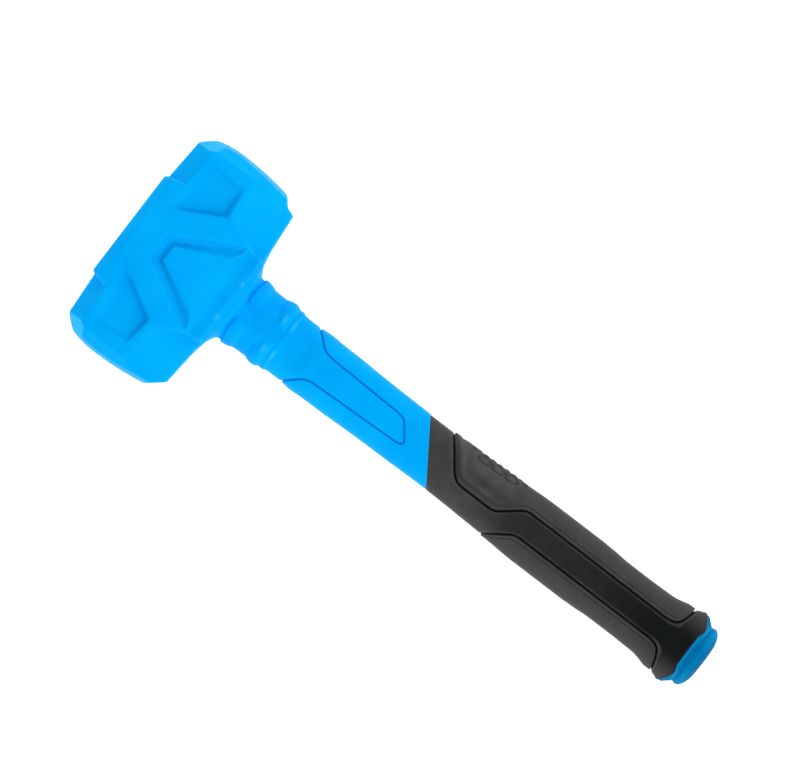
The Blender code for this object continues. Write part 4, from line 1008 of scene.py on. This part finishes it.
# The cap is a grid of ovals along the handle: it starts under the sleeve, shows as a sloping rim, steps
# in by a fine groove and ends in a knob with a softly rounded edge and a nearly flat face.
def makeCap():
    c, m = capShape, capMarks
    rows, columns = c["grid"]
    turn = np.linspace(0.0, 2.0 * np.pi, columns + 1)[:-1][None]
    xs, halves = np.array(c["halfWidth"]).T
    way = np.concatenate([[0.0], np.cumsum(np.hypot(np.diff(xs), np.diff(halves)))])
    run = np.linspace(0.0, way[-1], rows)
    x = fairCurve(run, np.stack([way, xs], axis=1))[:, None]
    a = fairCurve(run, np.stack([way, halves], axis=1))[:, None]
    y, z, _, _ = oval(turn, a, fairCurve(x, c["depthRatio"]) * a, c["power"])
    points = np.stack(np.broadcast_arrays(x, y, z), axis=-1)
    wide = np.abs(y)
    # painted shade in the groove, on the butt's face and under the sleeve's rim
    tone, place, half, fromY, toY = m["painted_shade"]
    painted_shade = tone * (bell(x, place, half) * ease(wide, fromY, toY))
    tone, start, end = m["end"]
    under, underX, underY = m["under"]
    shade = tone * ease(x, start, end) + under * ease(-x, *underX) * ease(wide, *underY)
    # paler along the sleeve's edge as wear and highlight, and painted light on the knob's sides
    tone, off, half = m["rubAndGlint"]
    wearAndGlint = tone * bell(x, np.interp(wide, *np.array(gripShape["rearEdge"]).T) + off, half)
    tone, alongY, alongX = m["knobSideLight"]
    knobSideLight = tone * ease(wide, *alongY) * ease(x, *alongX)
    marks = {"edge": wearAndGlint + knobSideLight, "painted_shade": np.clip(painted_shade + shade, 0.0, 1.0)}
    return gridPiece("end_cap_skin", points, capPlastic, "hammer", ["end_cap"], marks)


makeCap()


ballShape = {"rings": 15, "around": 20, "pole": 0.05}


# The loose shot: each ball is a grid of rings, r sin t round the striking axis and r cos t along it, with
# its middle and its r from its node's box.
def makeBalls():
    b = ballShape
    t = np.linspace(b["pole"], np.pi - b["pole"], b["rings"])[:, None]
    turn = np.linspace(0.0, 2.0 * np.pi, b["around"] + 1)[:-1][None]
    ball = np.stack(np.broadcast_arrays(np.sin(t) * np.cos(turn), np.cos(t), np.sin(t) * np.sin(turn)), axis=-1)
    for name in sorted(n for n in frame["nodes"] if n.startswith("shot_")):
        low, high = [np.array(corner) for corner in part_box(name)]
        middle = (0.5 * (low + high) - crossing) @ ownAxes.T / mm
        points = middle + 0.5 * (high - low).max() / mm * ball
        gridPiece("ball_" + name[5:], points, shotSteel, "shot", [name])


makeBalls()
for name in ["canister_tube", "canister_plug_left", "canister_plug_right", "handle_core"]:
    slots = frame["nodes"][name].data.materials
    slots.clear()
    slots.append(drawnSteel)
print("steel inside shown")

studio = {
    "floorColor": "#f4f4f2", "fibreColor": "#f8f8f6", "fibreSize": 2.5, "floorGlow": 0.6,
    "floorSize": 12.0, "floorZ": -0.0002,  # metres
    # height of the sky and brightness, and how much brighter it gets towards the butt
    "dome": [(0.0, 1.85), (0.25, 1.95), (0.5, 1.3), (0.75, 0.72), (1.0, 0.57)], "domePull": 0.28,
    "domeRange": 4.0,  # the ramp's colours are held below one by this
    # the picture's width and the point in its middle, in own millimetres, and the photo's tilt as cosine and sine
    "lens": 1000.0, "sensor": 36.0, "pictureWidth": 364.8, "aim": (114.0, 16.82, 0.0), "roll": (0.79388, 0.60807),
    "clipEnd": 50.0,
}


# The camera looks square on to the shown side: its right is the handle turned by the photo's tilt, and
# its distance puts the picture's width in millimetres across the sensor at the handle's axis.
def makeCamera():
    s = studio
    cos, sin = s["roll"]
    right = cos * alongHandle + sin * acrossFaces
    up = -sin * alongHandle + cos * acrossFaces
    distance = s["lens"] / s["sensor"] * s["pictureWidth"]
    place = toWorld(np.array(s["aim"]) + (0.0, 0.0, distance))
    camera = bpy.data.objects.new("camera", bpy.data.cameras.new("camera"))
    camera.data.lens = s["lens"]
    camera.data.sensor_width = s["sensor"]
    camera.data.clip_end = s["clipEnd"]
    turned = np.column_stack([right, up, outOfSide, place]).tolist()
    camera.matrix_world = Matrix(turned + [[0.0, 0.0, 0.0, 1.0]])
    bpy.context.scene.collection.objects.link(camera)
    bpy.context.scene.camera = camera


# White paper: a flat square, pale and matt, which the camera and reflections see a little brighter
def makeFloor():
    s = studio
    material, tree, place = startMaterial("paper_floor")
    fibre = noise(tree, place, s["fibreSize"], 3.0)
    tone = mixColors(tree, fibre, linear(s["floorColor"]), linear(s["fibreColor"]))
    paper = addNode(tree, "ShaderNodeBsdfDiffuse", {"Color": tone})
    glow = addNode(tree, "ShaderNodeEmission", {"Color": (1.0, 1.0, 1.0, 1.0), "Strength": s["floorGlow"]})
    none = addNode(tree, "ShaderNodeEmission", {"Strength": 0.0})
    ray = addNode(tree, "ShaderNodeLightPath").outputs
    seen = ray["Is Camera Ray"]
    for other in ["Is Glossy Ray", "Is Transmission Ray"]:
        seen = addNode(tree, "ShaderNodeMath", {0: seen, 1: ray[other]}, operation="MAXIMUM").outputs[0]
    shown = addNode(tree, "ShaderNodeMixShader", {0: seen, 1: none.outputs[0], 2: glow.outputs[0]})
    both = addNode(tree, "ShaderNodeAddShader", {0: paper.outputs[0], 1: shown.outputs[0]})
    addNode(tree, "ShaderNodeOutputMaterial", {"Surface": both.outputs[0]})
    half, z = s["floorSize"] / 2.0, s["floorZ"]
    mesh = bpy.data.meshes.new("floor")
    mesh.from_pydata([(-half, -half, z), (half, -half, z), (half, half, z), (-half, half, z)], [], [(0, 1, 2, 3)])
    mesh.materials.append(material)
    floor = bpy.data.objects.new("floor", mesh)
    bpy.context.scene.collection.objects.link(floor)


# A light tent: its brightness falls with height, from the white walls to the dim opening for the camera,
# times one plus the pull times the share of the direction that lies along the handle
def makeTent():
    s = studio
    world = bpy.data.worlds.new("light_tent")
    world.use_nodes = True
    tree = world.node_tree
    tree.nodes.clear()
    way = addNode(tree, "ShaderNodeTexCoord").outputs["Generated"]
    height = addNode(tree, "ShaderNodeSeparateXYZ", {0: way})
    ramp = addNode(tree, "ShaderNodeValToRGB", {0: height.outputs["Z"]})
    stops = ramp.color_ramp.elements
    for place, _ in s["dome"][1:-1]:
        stops.new(place)
    for stop, (place, light) in zip(stops, s["dome"]):
        stop.position = place
        stop.color = (*[light / s["domeRange"]] * 3, 1.0)
    lengthwise = addNode(tree, "ShaderNodeVectorMath", {0: way, 1: tuple(alongHandle)}, operation="DOT_PRODUCT")
    strength = {0: lengthwise.outputs["Value"], 1: s["domeRange"] * s["domePull"], 2: s["domeRange"]}
    pull = addNode(tree, "ShaderNodeMath", strength, operation="MULTIPLY_ADD")
    back = addNode(tree, "ShaderNodeBackground", {"Color": ramp.outputs[0], "Strength": pull.outputs[0]})
    addNode(tree, "ShaderNodeOutputWorld", {"Surface": back.outputs[0]})
    bpy.context.scene.world = world


makeCamera()
makeFloor()
makeTent()
bpy.context.scene.view_settings.view_transform = "Standard"
print("studio set")
